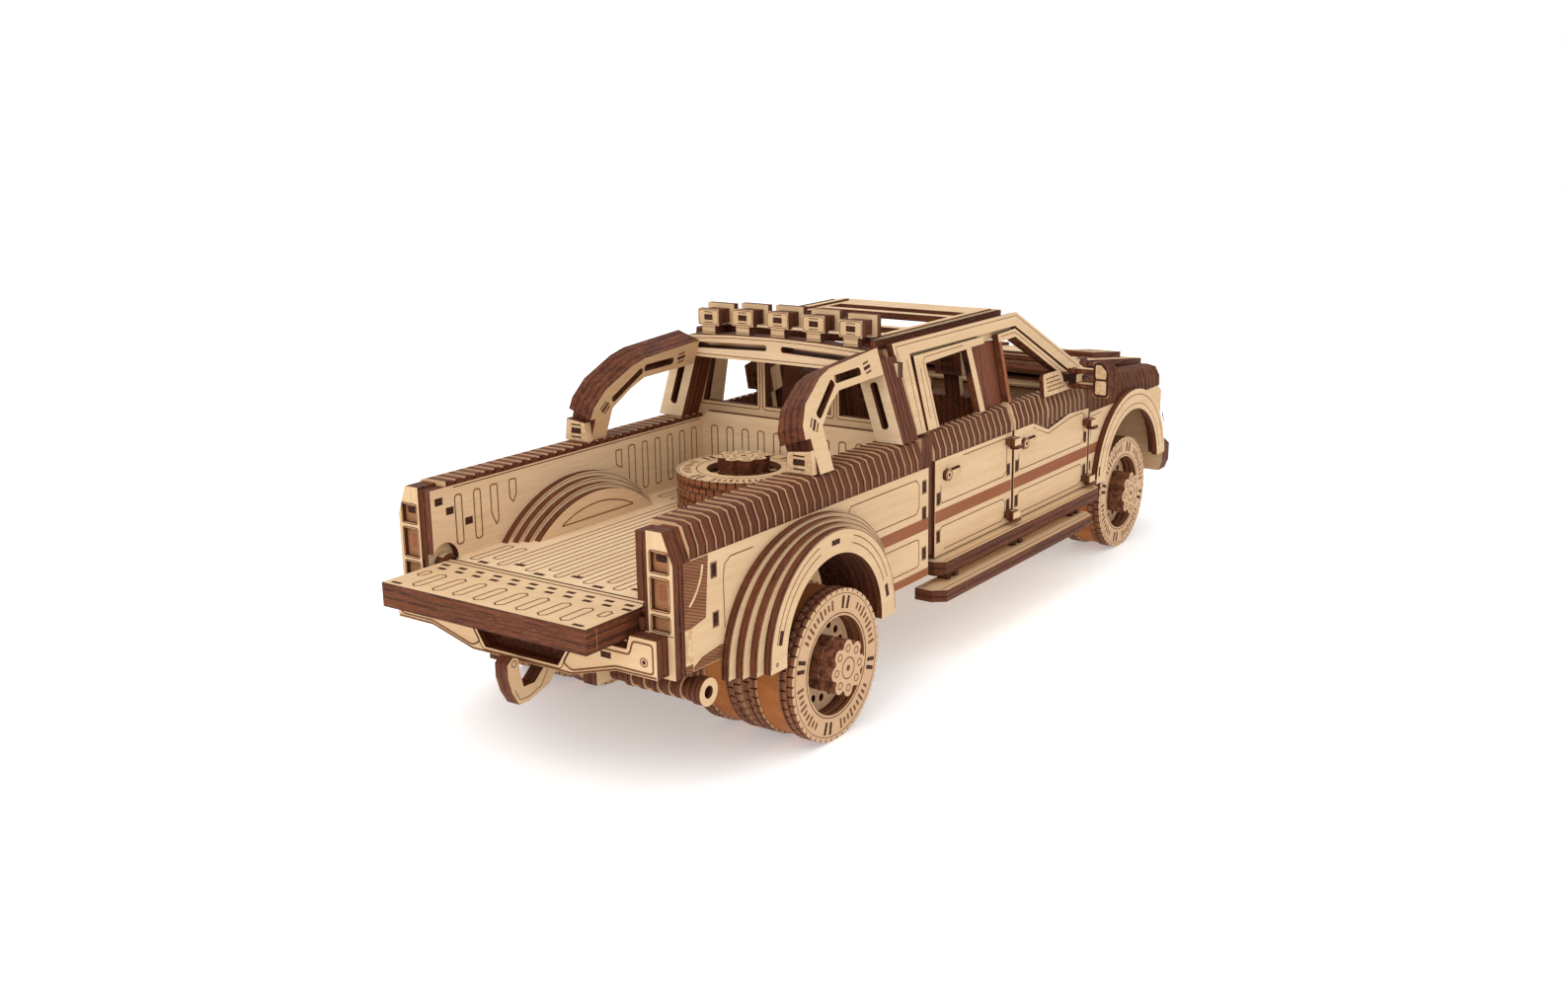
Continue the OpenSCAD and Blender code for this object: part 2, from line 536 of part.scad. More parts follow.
module knuckle() {
    block([front_axle_x - 3, king_y - 3, 21.6], [front_axle_x + 3, king_y + 3, 36]);
    translate([front_axle_x, king_y, 18.3]) cylinder(h = 21, r = 2, $fn = 48);
    rod_y(front_axle_x, king_y + 3 - eps, front_face_y - wheel_w + 15.4, axle_z, 2.5);
    block([front_axle_x - arm - 2.4, king_y - 2, 22], [front_axle_x - 3 + eps, king_y + 2, 25]);
    translate([front_axle_x - arm, king_y, 25 - eps]) cylinder(h = 3.5, r = 1.2, $fn = 48);
}
module left_knuckle() color(edge) place() knuckle();
module right_knuckle() color(edge) place() mirror([0, 1, 0]) knuckle();
module tie_rod() color(face) place() xy(25.4, 2.7) difference() {
    x = front_axle_x - arm;
    polygon([[x - 3, -36.5], [x + 3, -36.5], [x + 3, 36.5], [x - 3, 36.5]]);
    both2y() translate([x - 1.6, king_y - 1.5]) square([4, 3]);
}
module both2y() { children(); mirror([0, 1]) children(); }
wheel_hub = [303, 24, 86];
column_fall = 30;
module steering_column() color(edge) place() translate(wheel_hub) rotate([0, column_fall + 90, 0]) {
    translate([0, 0, 2]) cylinder(h = 18.7, r = 2, $fn = 48);
    translate([0, 0, -1.6]) cylinder(h = 3.7, r = pin_r, $fn = 48);
}
module steering_wheel() color(edge) place() translate(wheel_hub) rotate([0, column_fall + 90, 0])
    translate([0, 0, -1.6]) difference() {
        union() {
            difference() { cylinder(h = 3, r = 11, $fn = 64); translate([0, 0, -1]) cylinder(h = 5, r = 8.6, $fn = 64); }
            for (a = [90, 210, 330]) rotate(a) block([0, -1.3, 0], [9.4, 1.3, 3]);
            cylinder(h = 3, r = 3, $fn = 48);
        }
        translate([0, 0, -1]) cylinder(h = 5, r = pin_r + run_gap, $fn = 48);
    }
module spare_wheel() color(face) place() translate([spare_x, spare_y, bed_floor_z + 16]) difference() {
    union() {
        for (z = [-2 * ply, -16]) translate([0, 0, z]) cylinder(h = 2 * ply, r = 28, $fn = 96);
        translate([0, 0, -10]) cylinder(h = 4, r = 27.2, $fn = 96);
        linear_extrude(hub_proud) lobes(8.2, 2.7);
    }
    difference() {
        translate([0, 0, -9]) cylinder(h = 10, r = rim_r - 0.6, $fn = 96);
        translate([0, 0, -9]) linear_extrude(12) lobes(8.2, 2.7);
    }
}
mirror_x = 303.5;
mirror_y = 64;
module mirror_piece() {
    block([300, 75, 92.4], [309, 83, 109]);
    for (z = [95.4, 102.5]) block([mirror_x - 2, mirror_y - 2.4, z], [mirror_x + 2, 75, z + 2.4]);
    translate([mirror_x, mirror_y, 95.4]) cylinder(h = 9.5, r = pin_r, $fn = 48);
}
module left_mirror() color(face) place() mirror_piece();
module right_mirror() color(face) place() mirror([0, 1, 0]) mirror_piece();

chassis_frame();
chassis_crossmembers();
cab_floor();
rear_axle_hangers();
front_axle_beam();
bed_floor();
bed_walls();
bed_front_wall();
wheel_tubs();
bed_side_panels();
bed_side_slats();
tail_lamps();
rear_flares();
rear_bumper();
tow_hook();
exhaust_pipe();
roll_bar_hoops();
roll_bar_header();
spotlights();
cab_rear_wall();
cab_side_frames();
roof_frame();
b_pillars();
front_seats();
rear_bench();
cowl();
dashboard();
fender_panels();
fender_slats();
front_flares();
nose_panel();
grille();
headlamps();
front_bumper();
running_boards();
door_hinge_brackets();
tailgate();
hood_panel();
hood_vent();
rear_axle_shaft();
rear_outer_wheels();
rear_inner_wheels();
left_front_wheel();
right_front_wheel();
left_knuckle();
right_knuckle();
tie_rod();
steering_column();
steering_wheel();
spare_wheel();
left_rear_door_panel();
left_rear_door_frame();
right_rear_door_panel();
right_rear_door_frame();
left_front_door_panel();
left_front_door_frame();
right_front_door_panel();
right_front_door_frame();
left_mirror();
right_mirror();
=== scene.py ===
# Looks of the plywood pickup truck: birch faces, burnt edges, engraved lines and detailed wheels around the CAD frame.
# Lengths in this script are millimetres; u counts forward from the tail lamps, v is left, w is up.
import math

import bmesh
import bpy
from mathutils import Matrix, Vector


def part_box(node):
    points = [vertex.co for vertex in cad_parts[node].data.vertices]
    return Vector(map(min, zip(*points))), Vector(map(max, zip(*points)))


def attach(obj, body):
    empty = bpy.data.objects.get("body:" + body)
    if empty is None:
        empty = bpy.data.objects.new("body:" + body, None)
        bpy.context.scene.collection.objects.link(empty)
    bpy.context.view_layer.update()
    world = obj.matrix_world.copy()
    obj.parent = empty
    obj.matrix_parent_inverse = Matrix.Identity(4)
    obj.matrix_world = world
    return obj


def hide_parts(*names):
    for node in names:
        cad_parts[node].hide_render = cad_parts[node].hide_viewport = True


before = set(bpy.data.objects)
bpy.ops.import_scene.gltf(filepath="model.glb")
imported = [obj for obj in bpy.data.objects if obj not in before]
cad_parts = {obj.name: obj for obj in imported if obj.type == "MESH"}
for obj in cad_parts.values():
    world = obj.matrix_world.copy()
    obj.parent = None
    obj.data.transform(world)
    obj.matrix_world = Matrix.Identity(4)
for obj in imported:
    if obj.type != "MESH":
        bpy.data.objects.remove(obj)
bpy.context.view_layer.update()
MM = 0.001
X0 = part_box("tail_lamps")[0].x

# Linear colours of the wood
BIRCH = (0.71, 0.490, 0.285)
# A paler birch for the faces inside the bed: painted light that brightens their shade
BIRCH_PAINTED_LIGHT = (0.79, 0.580, 0.365)
BIRCH_DEEP = (0.54, 0.330, 0.165)
BURNT = (0.062, 0.018, 0.009)
BURNT_RED = (0.150, 0.042, 0.017)
CHAR = (0.020, 0.008, 0.005)
STREAK = (0.38, 0.170, 0.075)
HATCH = (0.33, 0.110, 0.050)
BAND = (0.36, 0.115, 0.028)

# Sizes of the CAD that the shapes below sit on; the leans start from a point (V, W) of the belt line or the bed rail
PLY, SPARE_SHEET = 3.0, 3.2
LEAN = math.radians(12.4)
LEAN_V, LEAN_W = 58.0, 97.0
HOOP_LEAN = math.radians(18)
HOOP_V, HOOP_W = 49.9, 96.5
SEAT_LEAN = math.radians(12)
HOOD_FALL = math.radians(7.2)
REAR_AXLE, FRONT_AXLE, AXLE_W = 78.0, 374.0, 28.8
FLANK, SKIN, ARCH_FACE = 65.0, 62.0, 77.0
BED_WALL, TUB_FACE, BED_FLOOR = 48.7, 36.7, 66.8
TAILGATE_LOW, TAILGATE_HIGH = 58.0, 67.0
BUMPER_BACK, CAB_BACK = -6.0, 166.0
HEADER_BACK, HEADER_FRONT = 149.0, 158.0
LIGHT_BACK, LIGHT_FRONT, LIGHT_PITCH = 152.0, 164.0, 18
MIRROR_V, MIRROR_W, MIRROR_BACK = 79, 100.7, 300.0

# Widths of engraved lines, how far a line stands off its face, and how deep lines and patches sink into it
HAIR, FINE, THIN, PANEL, RIB, BOLD = 0.3, 0.35, 0.4, 0.42, 0.5, 0.62
LIFT, SINK = 0.06, 0.08

BOTH = (1, -1)
SIDES = (("left", 1), ("right", -1))


# ---------- materials ----------
class Graph:
    """A node material with short calls for the maths it needs."""

    def __init__(self, name, roughness=0.6):
        self.mat = bpy.data.materials.new(name)
        self.mat.use_nodes = True
        self.tree = self.mat.node_tree
        self.shader = self.tree.nodes["Principled BSDF"]
        self.shader.inputs["Roughness"].default_value = roughness
        self.shader.inputs["Specular IOR Level"].default_value = 0.12
        coords = self.tree.nodes.new("ShaderNodeTexCoord")
        self.point, self.normal = coords.outputs["Object"], coords.outputs["Normal"]

    def put(self, socket, value):
        if isinstance(value, bpy.types.NodeSocket):
            self.tree.links.new(value, socket)
        elif isinstance(value, tuple) and socket.type == "RGBA":
            socket.default_value = (*value, 1)
        else:
            socket.default_value = value

    def add(self, kind, **inputs):
        """A new node with its inputs set or linked by name."""
        node = self.tree.nodes.new("ShaderNode" + kind)
        for name, value in inputs.items():
            self.put(node.inputs[name.replace("_", " ")], value)
        return node

    def math(self, operation, *values):
        node = self.add("Math")
        node.operation = operation
        for socket, value in zip(node.inputs, values):
            self.put(socket, value)
        return node.outputs[0]

    def times(self, a, b):
        return self.math("MULTIPLY", a, b)

    def less(self, a, b):
        return self.math("SUBTRACT", a, b)

    def size(self, value):
        return self.math("ABSOLUTE", value)

    def split(self, vector):
        return self.add("SeparateXYZ", Vector=vector).outputs

    def scaled(self, vector, scale):
        node = self.add("VectorMath")
        node.operation = "MULTIPLY"
        self.put(node.inputs[0], vector)
        node.inputs[1].default_value = scale
        return node.outputs[0]

    def noise(self, vector, scale, detail=3.0, distortion=0.0):
        return self.add("TexNoise", Vector=vector, Scale=scale, Detail=detail, Distortion=distortion).outputs["Fac"]

    def ramp(self, value, low, high):
        """A smooth step from 0 at low to 1 at high."""
        node = self.add("MapRange", Value=value, From_Min=low, From_Max=high)
        node.interpolation_type = "SMOOTHSTEP"
        return node.outputs["Result"]

    def mix(self, factor, a, b):
        node = self.add("Mix")
        node.data_type = "RGBA"
        for name, value in (("Factor", factor), ("A", a), ("B", b)):
            self.put(node.inputs[name], value)
        return node.outputs["Result"]

    def finish(self, colour, height=None, strength=0.2, distance=0.0003):
        self.put(self.shader.inputs["Base Color"], colour)
        if height is not None:
            bump = self.add("Bump", Strength=strength, Distance=distance, Height=height)
            self.put(self.shader.inputs["Normal"], bump.outputs["Normal"])
        return self.mat


GRAIN = {"X": (0.06, 1.0, 1.0), "Y": (1.0, 0.06, 1.0), "Z": (1.0, 1.0, 0.06)}


def birch_colour(g, grain, light=BIRCH, deep=BIRCH_DEEP):
    """Pale veneer: soft clouds, long streaks along the grain and short dark pores."""
    along = g.scaled(g.point, GRAIN[grain])
    clouds = g.ramp(g.noise(along, 90.0, 2.0, 0.6), 0.35, 0.75)
    streaks = g.ramp(g.noise(along, 700.0, 4.0), 0.42, 0.72)
    pores = g.ramp(g.noise(along, 2600.0, 2.0), 0.62, 0.80)
    colour = g.mix(g.times(clouds, 0.30), light, deep)
    colour = g.mix(g.times(streaks, 0.28), colour, deep)
    return g.mix(g.times(pores, 0.35), colour, BURNT_RED), streaks


def burnt_colour(g, layer, along, light_line=0.55, tones=(BURNT, BURNT_RED)):
    """Laser-cut edge: charred glue lines, a redder middle veneer and lighter streaks along the sheet."""
    rough = g.noise(along, 420.0, 5.0, 0.4)
    fine = g.noise(along, 2200.0, 3.0)
    colour = g.mix(g.ramp(rough, 0.36, 0.66), *tones)
    middle = g.ramp(g.size(g.less(layer, 0.5)), 0.20, 0.08)
    colour = g.mix(g.times(middle, 0.45), colour, tones[1])
    streak = g.times(g.ramp(fine, 0.56, 0.72), light_line)
    colour = g.mix(streak, colour, STREAK)
    glue = g.ramp(g.size(g.less(layer, 0.5)), 0.40, 0.48)
    return g.mix(glue, colour, CHAR), glue


def leaned(g, outward, upward, lean):
    """The part of a vector that points out of a face leaned inwards."""
    return g.math("ADD", g.times(outward, math.cos(lean)), g.times(upward, math.sin(lean)))


def ply_material(name, axis, start, sheet=PLY, grain="X", light=BIRCH, deep=BIRCH_DEEP, light_line=0.55,
                 tones=(BURNT, BURNT_RED)):
    """Plywood with its sheets across axis: veneer where the surface faces along it, burnt edge everywhere else.

    The axis is X, Y or Z, or the angle by which the sheets lean inwards."""
    g = Graph(name)
    x, y, z = g.split(g.point)
    nx, ny, nz = g.split(g.normal)
    if isinstance(axis, float):
        facing = leaned(g, g.times(ny, g.math("SIGN", y)), nz, axis)
        depth = leaned(g, g.size(y), z, axis)
        along = g.scaled(g.point, (0.12, 1.0, 1.0))
    else:
        facing, depth = {"X": (nx, x), "Y": (ny, g.size(y)), "Z": (nz, z)}[axis]
        flat = {"X": (3.0, 0.12, 0.12), "Y": (0.12, 3.0, 0.12), "Z": (0.12, 0.12, 3.0)}[axis]
        along = g.scaled(g.point, flat)
    layer = g.math("FRACT", g.math("DIVIDE", g.less(depth, start * MM), sheet * MM))
    veneer, streaks = birch_colour(g, grain, light, deep)
    burnt, glue = burnt_colour(g, layer, along, light_line, tones)
    on_face = g.ramp(g.size(facing), 0.72, 0.80)
    height = g.mix(on_face, g.less(1.0, glue), g.times(streaks, 0.35))
    return g.finish(g.mix(on_face, burnt, veneer), height, 0.35, 0.00025)


def engraved_material(name, base, deep, scale=1500.0):
    """A laser line or pocket: an even burn with a fine speckle."""
    g = Graph(name, 0.75)
    speck = g.ramp(g.noise(g.point, scale, 3.0), 0.35, 0.7)
    return g.finish(g.mix(speck, base, deep), speck, 0.3, 0.0001)


def hatched_material(name, base, groove, pitch=0.55, tilt=0.0):
    """A raster-engraved field: fine parallel laser lines over a toasted veneer."""
    g = Graph(name, 0.7)
    x, _, z = g.split(g.point)
    run = g.math("ADD", g.times(z, math.cos(tilt)), g.times(x, math.sin(tilt)))
    wave = g.math("PINGPONG", g.math("DIVIDE", run, pitch * MM), 0.5)
    line = g.ramp(wave, 0.30, 0.12)
    cloud = g.ramp(g.noise(g.scaled(g.point, (0.1, 1.0, 1.0)), 300.0, 4.0), 0.35, 0.7)
    colour = g.mix(g.times(cloud, 0.5), base, STREAK)
    return g.finish(g.mix(g.times(line, 0.6), colour, groove), g.less(1.0, line), 0.4, 0.0001)


def band_material():
    """The smooth bent veneer between the tread packs, toasted orange, with its grain around the wheel."""
    g = Graph("tyre_band", 0.5)
    cloud = g.ramp(g.noise(g.scaled(g.point, (1.0, 0.25, 1.0)), 160.0, 4.0), 0.3, 0.75)
    fibre = g.ramp(g.noise(g.scaled(g.point, (1.0, 6.0, 1.0)), 500.0, 3.0), 0.45, 0.75)
    colour = g.mix(g.times(cloud, 0.6), BAND, (0.52, 0.20, 0.055))
    return g.finish(g.mix(g.times(fibre, 0.4), colour, BURNT_RED), fibre, 0.2, 0.0001)


LINE = engraved_material("engraved_line", (0.12, 0.048, 0.022), (0.24, 0.10, 0.045))
SLOT = engraved_material("burnt_slot", CHAR, (0.10, 0.035, 0.018))
STRIPE = hatched_material("hatched_stripe", HATCH, (0.16, 0.045, 0.02))
LENS = hatched_material("hatched_lens", (0.42, 0.19, 0.085), (0.15, 0.05, 0.02), 0.5, 0.7)
SIDE_LENS = hatched_material("hatched_side", (0.23, 0.090, 0.040), (0.07, 0.024, 0.012), 1.1, 0.35)
TOASTED = ((0.115, 0.040, 0.020), (0.30, 0.115, 0.055))
TREAD = ply_material("tread_ply", "Y", 0.0, light_line=0.35, tones=TOASTED)
HUB_EDGE = engraved_material("hub_edge", (0.25, 0.095, 0.046), (0.085, 0.030, 0.016), 500.0)
BAND_MAT = band_material()
PALE = engraved_material("pale_veneer", BIRCH, BIRCH_DEEP, 500.0)
EDGE = engraved_material("dark_edge", BURNT, BURNT_RED, 600.0)
FACE_RING = ply_material("wheel_face", "Y", 0.0, light=(0.62, 0.40, 0.235))
TOP_FACE = ply_material("spare_face", "Z", BED_FLOOR, SPARE_SHEET)
TREAD_FLAT = ply_material("spare_tread", "Z", BED_FLOOR, SPARE_SHEET, light_line=0.35, tones=TOASTED)

# (axis across the sheets, grain): the nodes that lie so, and where the first sheet of each starts
SHEETS = {
    ("Y", "X"): {"chassis_frame": 20, "rear_axle_hangers": 20, "bed_walls": 48.7, "wheel_tubs": 36.7,
        "bed_side_panels": 62, "rear_flares": 65, "tow_hook": 0, "exhaust_pipe": 26, "fender_panels": 59,
        "front_flares": 62},
    ("X", "Y"): {"chassis_crossmembers": 12, "bed_front_wall": 162, "rear_bumper": -6, "roll_bar_header": 149,
        "spotlights": 152, "cab_rear_wall": 166, "cowl": 336, "dashboard": 322, "nose_panel": 417, "grille": 420,
        "headlamps": 420, "front_bumper": 420, "steering_wheel": 303},
    ("Z", "X"): {"cab_floor": 42, "bed_floor": 63.8, "roof_frame": 131.9, "running_boards": 36.3,
        "door_hinge_brackets": 44, "hood_panel": 90, "hood_vent": 90, "left_knuckle": 21.6, "right_knuckle": 21.6},
    ("Z", "Y"): {"front_axle_beam": 25.3, "tailgate": 58, "tie_rod": 25.4},
    ("X", "Z"): {"tail_lamps": 0},
    ("Y", "Z"): {"front_seats": 0, "rear_bench": 0},
    ("Y", "Y"): {"rear_axle_shaft": 0},
    ("X", "X"): {"steering_column": 303},
}
THIN_SHEETS = {"door_hinge_brackets": 1.6, "tie_rod": 2.7}
# Nodes inside the bed that take the paler birch, painted light over their shaded faces
PAINTED_LIGHT_NODES = ("bed_floor", "wheel_tubs", "bed_walls", "bed_front_wall", "roll_bar_header")
# node: where its first slat starts, the pitch of the slats and the lighter colour of their faces
SLATTED = {"bed_side_slats": (9.0, 153 / 31, (0.70, 0.42, 0.23)),
           "fender_slats": (327.0, 89 / 18, (0.155, 0.058, 0.026))}
# door: its rear and front edge, and the pitch of its slats
DOORS = {"rear": (175.5, 244.5, 69 / 14), "front": (246.5, 325.0, 78.5 / 16)}


def dress(node, material):
    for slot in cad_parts[node].material_slots:
        slot.material = material


def dress_cad():
    """Gives every CAD node that stays visible a material, except the door frames."""
    for (axis, grain), nodes in SHEETS.items():
        shift = X0 / MM if axis == "X" else 0.0
        for node, start in nodes.items():
            # The nodes inside the bed get the paler birch: painted light on their shaded faces
            light = BIRCH_PAINTED_LIGHT if node in PAINTED_LIGHT_NODES else BIRCH
            dress(node, ply_material("ply_" + node, axis, start + shift, THIN_SHEETS.get(node, PLY), grain, light))
    for side, _ in SIDES:
        for which in DOORS:
            node = f"{side}_{which}_door_panel"
            dress(node, ply_material("ply_" + node, "Y", SKIN - PLY))
    lean_start = LEAN_V * math.cos(LEAN) + LEAN_W * math.sin(LEAN)
    dress("cab_side_frames", ply_material("ply_side_frames", LEAN, lean_start))
    dress("b_pillars", ply_material("ply_pillars", LEAN, lean_start, PLY, "Z", (0.20, 0.065, 0.032), BURNT))
    hoop_start = HOOP_V * math.cos(HOOP_LEAN) + HOOP_W * math.sin(HOOP_LEAN)
    dress("roll_bar_hoops", ply_material("ply_roll_bar_hoops", HOOP_LEAN, hoop_start))
    for node, (start, pitch, light) in SLATTED.items():
        dress(node, ply_material("slats_" + node, "X", start + X0 / MM, pitch, "Z", light, light_line=0.30))


# ---------- flat shapes on the faces of the truck ----------
def on_side(v, sign):
    return lambda a, b, h: (X0 + a * MM, sign * (v + h) * MM, b * MM)


def on_inside(v, sign):
    return lambda a, b, h: (X0 + a * MM, sign * (v - h) * MM, b * MM)


def on_back(u, sign=1):
    return lambda a, b, h: (X0 + (u - h) * MM, sign * a * MM, b * MM)


def on_front(u, sign=1):
    return lambda a, b, h: (X0 + (u + h) * MM, sign * a * MM, b * MM)


def on_top(w, sign=1):
    return lambda a, b, h: (X0 + a * MM, sign * b * MM, (w + h) * MM)


def on_lean(sign, out=0.0, lean=LEAN, v0=LEAN_V, w0=LEAN_W, turn=1):
    def place(a, b, h):
        d = h * turn + out
        v = v0 + d * math.cos(lean) - b * math.sin(lean)
        w = w0 + d * math.sin(lean) + b * math.cos(lean)
        return (X0 + a * MM, sign * v * MM, w * MM)
    return place


def on_hoop(sign, outside):
    """The outer or inner face of a roll bar hoop; heights run along its lean."""
    return on_lean(sign, 4 * PLY if outside else 0.0, HOOP_LEAN, HOOP_V, HOOP_W, 1 if outside else -1)


def rounded(points, radius, steps=3):
    """The closed outline with each corner turned into an arc of about that radius."""
    out = []
    count = len(points)
    for i, p in enumerate(points):
        before, here, after = Vector(points[i - 1]), Vector(p), Vector(points[(i + 1) % count])
        a, b = before - here, after - here
        cut = min(radius, a.length * 0.45, b.length * 0.45)
        start, end = here + a.normalized() * cut, here + b.normalized() * cut
        for k in range(steps + 1):
            t = k / steps
            out.append(tuple((1 - t) ** 2 * start + 2 * t * (1 - t) * here + t * t * end))
    return out


def rectangle(a0, b0, a1, b1):
    return [(a0, b0), (a1, b0), (a1, b1), (a0, b1)]


def pad(a0, b0, a1, b1, radius, steps=3):
    """A rectangle with rounded corners."""
    return rounded(rectangle(a0, b0, a1, b1), radius, steps)


def chamfered(a0, b0, a1, b1, cut):
    return [(a0 + cut, b0), (a1 - cut, b0), (a1, b0 + cut), (a1, b1 - cut), (a1 - cut, b1), (a0 + cut, b1),
            (a0, b1 - cut), (a0, b0 + cut)]


def shifted(place, da, db, dh):
    return lambda a, b, h: place(a + da, b + db, h + dh)


def arc(ca, cb, radius, start, end, steps=24):
    turns = [math.radians(start + (end - start) * i / steps) for i in range(steps + 1)]
    return [(ca + radius * math.cos(t), cb + radius * math.sin(t)) for t in turns]


def ring(ca, cb, radius, steps=24):
    return arc(ca, cb, radius, 0, 360, steps)[:-1]


def linked(name, data):
    obj = bpy.data.objects.new(name, data)
    bpy.context.scene.collection.objects.link(obj)
    return obj


class Sheet:
    """One Blender piece made of thin closed shapes laid on flat faces, with a material for each kind of shape."""

    def __init__(self, name, body):
        self.name, self.body, self.bm, self.materials = name, body, bmesh.new(), []

    def index(self, material):
        if material not in self.materials:
            self.materials.append(material)
        return self.materials.index(material)

    def faces(self, loops, index):
        for loop in loops:
            self.bm.faces.new(loop).material_index = index

    def line(self, place, points, width=0.45, closed=True, lift=LIFT, material=LINE):
        """A thin ribbon along an outline, raised by a hair: what a laser line looks like from any distance."""
        index, count = self.index(material), len(points)
        rings = []
        for i, p in enumerate(points):
            here = Vector(p)
            before = Vector(points[i - 1]) if closed or i else None
            after = Vector(points[(i + 1) % count]) if closed or i < count - 1 else None
            d1 = (here - before).normalized() if before is not None else (after - here).normalized()
            d2 = (after - here).normalized() if after is not None else d1
            n = Vector((-d1.y - d2.y, d1.x + d2.x))
            n = n.normalized() if n.length > 1e-6 else Vector((-d1.y, d1.x))
            reach = 0.5 * width / max(0.5, n.dot(Vector((-d1.y, d1.x))))
            l, r = here + n * reach, here - n * reach
            corners = ((l, -SINK), (r, -SINK), (r, lift), (l, lift))
            rings.append([self.bm.verts.new(place(q.x, q.y, h)) for q, h in corners])
        for i in range(count if closed else count - 1):
            a, b = rings[i], rings[(i + 1) % count]
            self.faces([(a[k], a[(k + 1) % 4], b[(k + 1) % 4], b[k]) for k in range(4)], index)
        if not closed:
            self.faces([rings[0][::-1], rings[-1]], index)

    def stroke(self, place, points, width=0.45, lift=LIFT, material=LINE):
        """The same ribbon along an open path."""
        self.line(place, points, width, False, lift, material)

    def patch(self, place, points, lift=0.05, material=SLOT):
        """A filled flat shape: a burnt slot end, a hatched field or an applied plate."""
        self.plate(place, points, -SINK, lift, material, material)

    def plate(self, place, points, low, high, face, edge):
        """A solid plate between two depths, with one material on its flats and another round its edge."""
        flats, sides = self.index(face), self.index(edge)
        bottom = [self.bm.verts.new(place(a, b, low)) for a, b in points]
        top = [self.bm.verts.new(place(a, b, high)) for a, b in points]
        count = len(points)
        self.faces([bottom[::-1], top], flats)
        self.faces([(bottom[i], bottom[(i + 1) % count], top[(i + 1) % count], top[i]) for i in range(count)], sides)

    def annulus(self, place, outer, inner, low, high, face, edge, wall=None):
        """A ring-shaped plate; the two outlines have the same number of points."""
        flats, sides, walls = self.index(face), self.index(edge), self.index(wall or edge)
        loops = [[self.bm.verts.new(place(a, b, h)) for a, b in pts]
                 for pts, h in ((outer, low), (outer, high), (inner, low), (inner, high))]
        ol, oh, il, ih = loops
        for i in range(len(outer)):
            j = (i + 1) % len(outer)
            self.faces([(ol[i], ol[j], oh[j], oh[i])], sides)
            self.faces([(il[j], il[i], ih[i], ih[j])], walls)
            self.faces([(oh[i], oh[j], ih[j], ih[i]), (ol[j], ol[i], il[i], il[j])], flats)

    def build(self, replaces=()):
        bmesh.ops.recalc_face_normals(self.bm, faces=self.bm.faces)
        mesh = bpy.data.meshes.new(self.name)
        self.bm.to_mesh(mesh)
        self.bm.free()
        for material in self.materials:
            mesh.materials.append(material)
        piece = linked(self.name, mesh)
        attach(piece, self.body)
        if replaces:
            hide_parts(*replaces)


# ---------- wheels ----------
TYRE_R, NOTCH_R, BAND_R, RIM_R, WHEEL_W, TEETH = 28.8, 27.7, 27.9, 18.7, 22.0, 48
DISH_DEPTH, VENTS = 7.0, 16
HUB_PROUD, HUB_SHEETS, HUB_R, LOBE_R, LOBES = 5.0, 4, 8.2, 2.7, 8


def toothed(shift, root=NOTCH_R, tip=TYRE_R):
    """Outline of one tread sheet: square teeth with narrow notches between them."""
    points = []
    for i in range(TEETH):
        for part, radius in ((0.0, tip), (0.40, tip), (0.80, tip), (0.82, root), (0.98, root)):
            t = 2 * math.pi * (i + part + shift) / TEETH
            points.append((radius * math.cos(t), radius * math.sin(t)))
    return points


def circle_like(outline, radius):
    """A circle with its points at the same angles as an outline."""
    return [(radius * a / math.hypot(a, b), radius * b / math.hypot(a, b)) for a, b in outline]


def around(count, radius):
    """Evenly spaced points on a circle about the wheel's centre."""
    turns = [2 * math.pi * k / count for k in range(count)]
    return [(radius * math.cos(t), radius * math.sin(t)) for t in turns]


def lobed(centre):
    """Outline of the hub: a disc with round lobes."""
    points, steps = [], 128
    for i in range(steps):
        t = 2 * math.pi * i / steps
        off = (t + math.pi / LOBES) % (2 * math.pi / LOBES) - math.pi / LOBES
        reach = LOBE_R ** 2 - (centre * math.sin(off)) ** 2
        r = centre * math.cos(off) + math.sqrt(reach) if reach > 0 else 0.0
        r = max(r, centre + 0.5)
        points.append((r * math.cos(t), r * math.sin(t)))
    return points


def radial_bar(degrees, r0, r1, width):
    t = math.radians(degrees)
    c, n = math.cos(t), math.sin(t)
    h = width / 2
    return [(r0 * c + h * n, r0 * n - h * c), (r1 * c + h * n, r1 * n - h * c),
            (r1 * c - h * n, r1 * n + h * c), (r0 * c - h * n, r0 * n + h * c)]


def tread_pack(s, place, start):
    """Two toothed sheets with their teeth half a step apart."""
    for k, face in enumerate((FACE_RING, TREAD)):
        outline = toothed(0.5 * k)
        s.annulus(place, outline, circle_like(outline, RIM_R), -start - (k + 1) * PLY, -start - k * PLY, face, TREAD)


def tyre_marks(s, place):
    """Generic marks: two rings, four pairs of bars and four rows of plain ticks."""
    s.line(place, ring(0, 0, 19.7, 64))
    s.line(place, ring(0, 0, 27.0, 64), 0.25)
    for centre in (75, 165, 255, 345):
        for turn in (centre - 4, centre + 4):
            s.patch(place, radial_bar(turn, 21.3, 26.1, 1.5))
    for centre in (30, 120, 210, 300):
        for k in range(9):
            tall = 1.3 if k % 3 else 2.0
            s.patch(place, radial_bar(centre - 24 + 6 * k, 23.7 - tall, 23.7 + tall, 1.1), material=LINE)


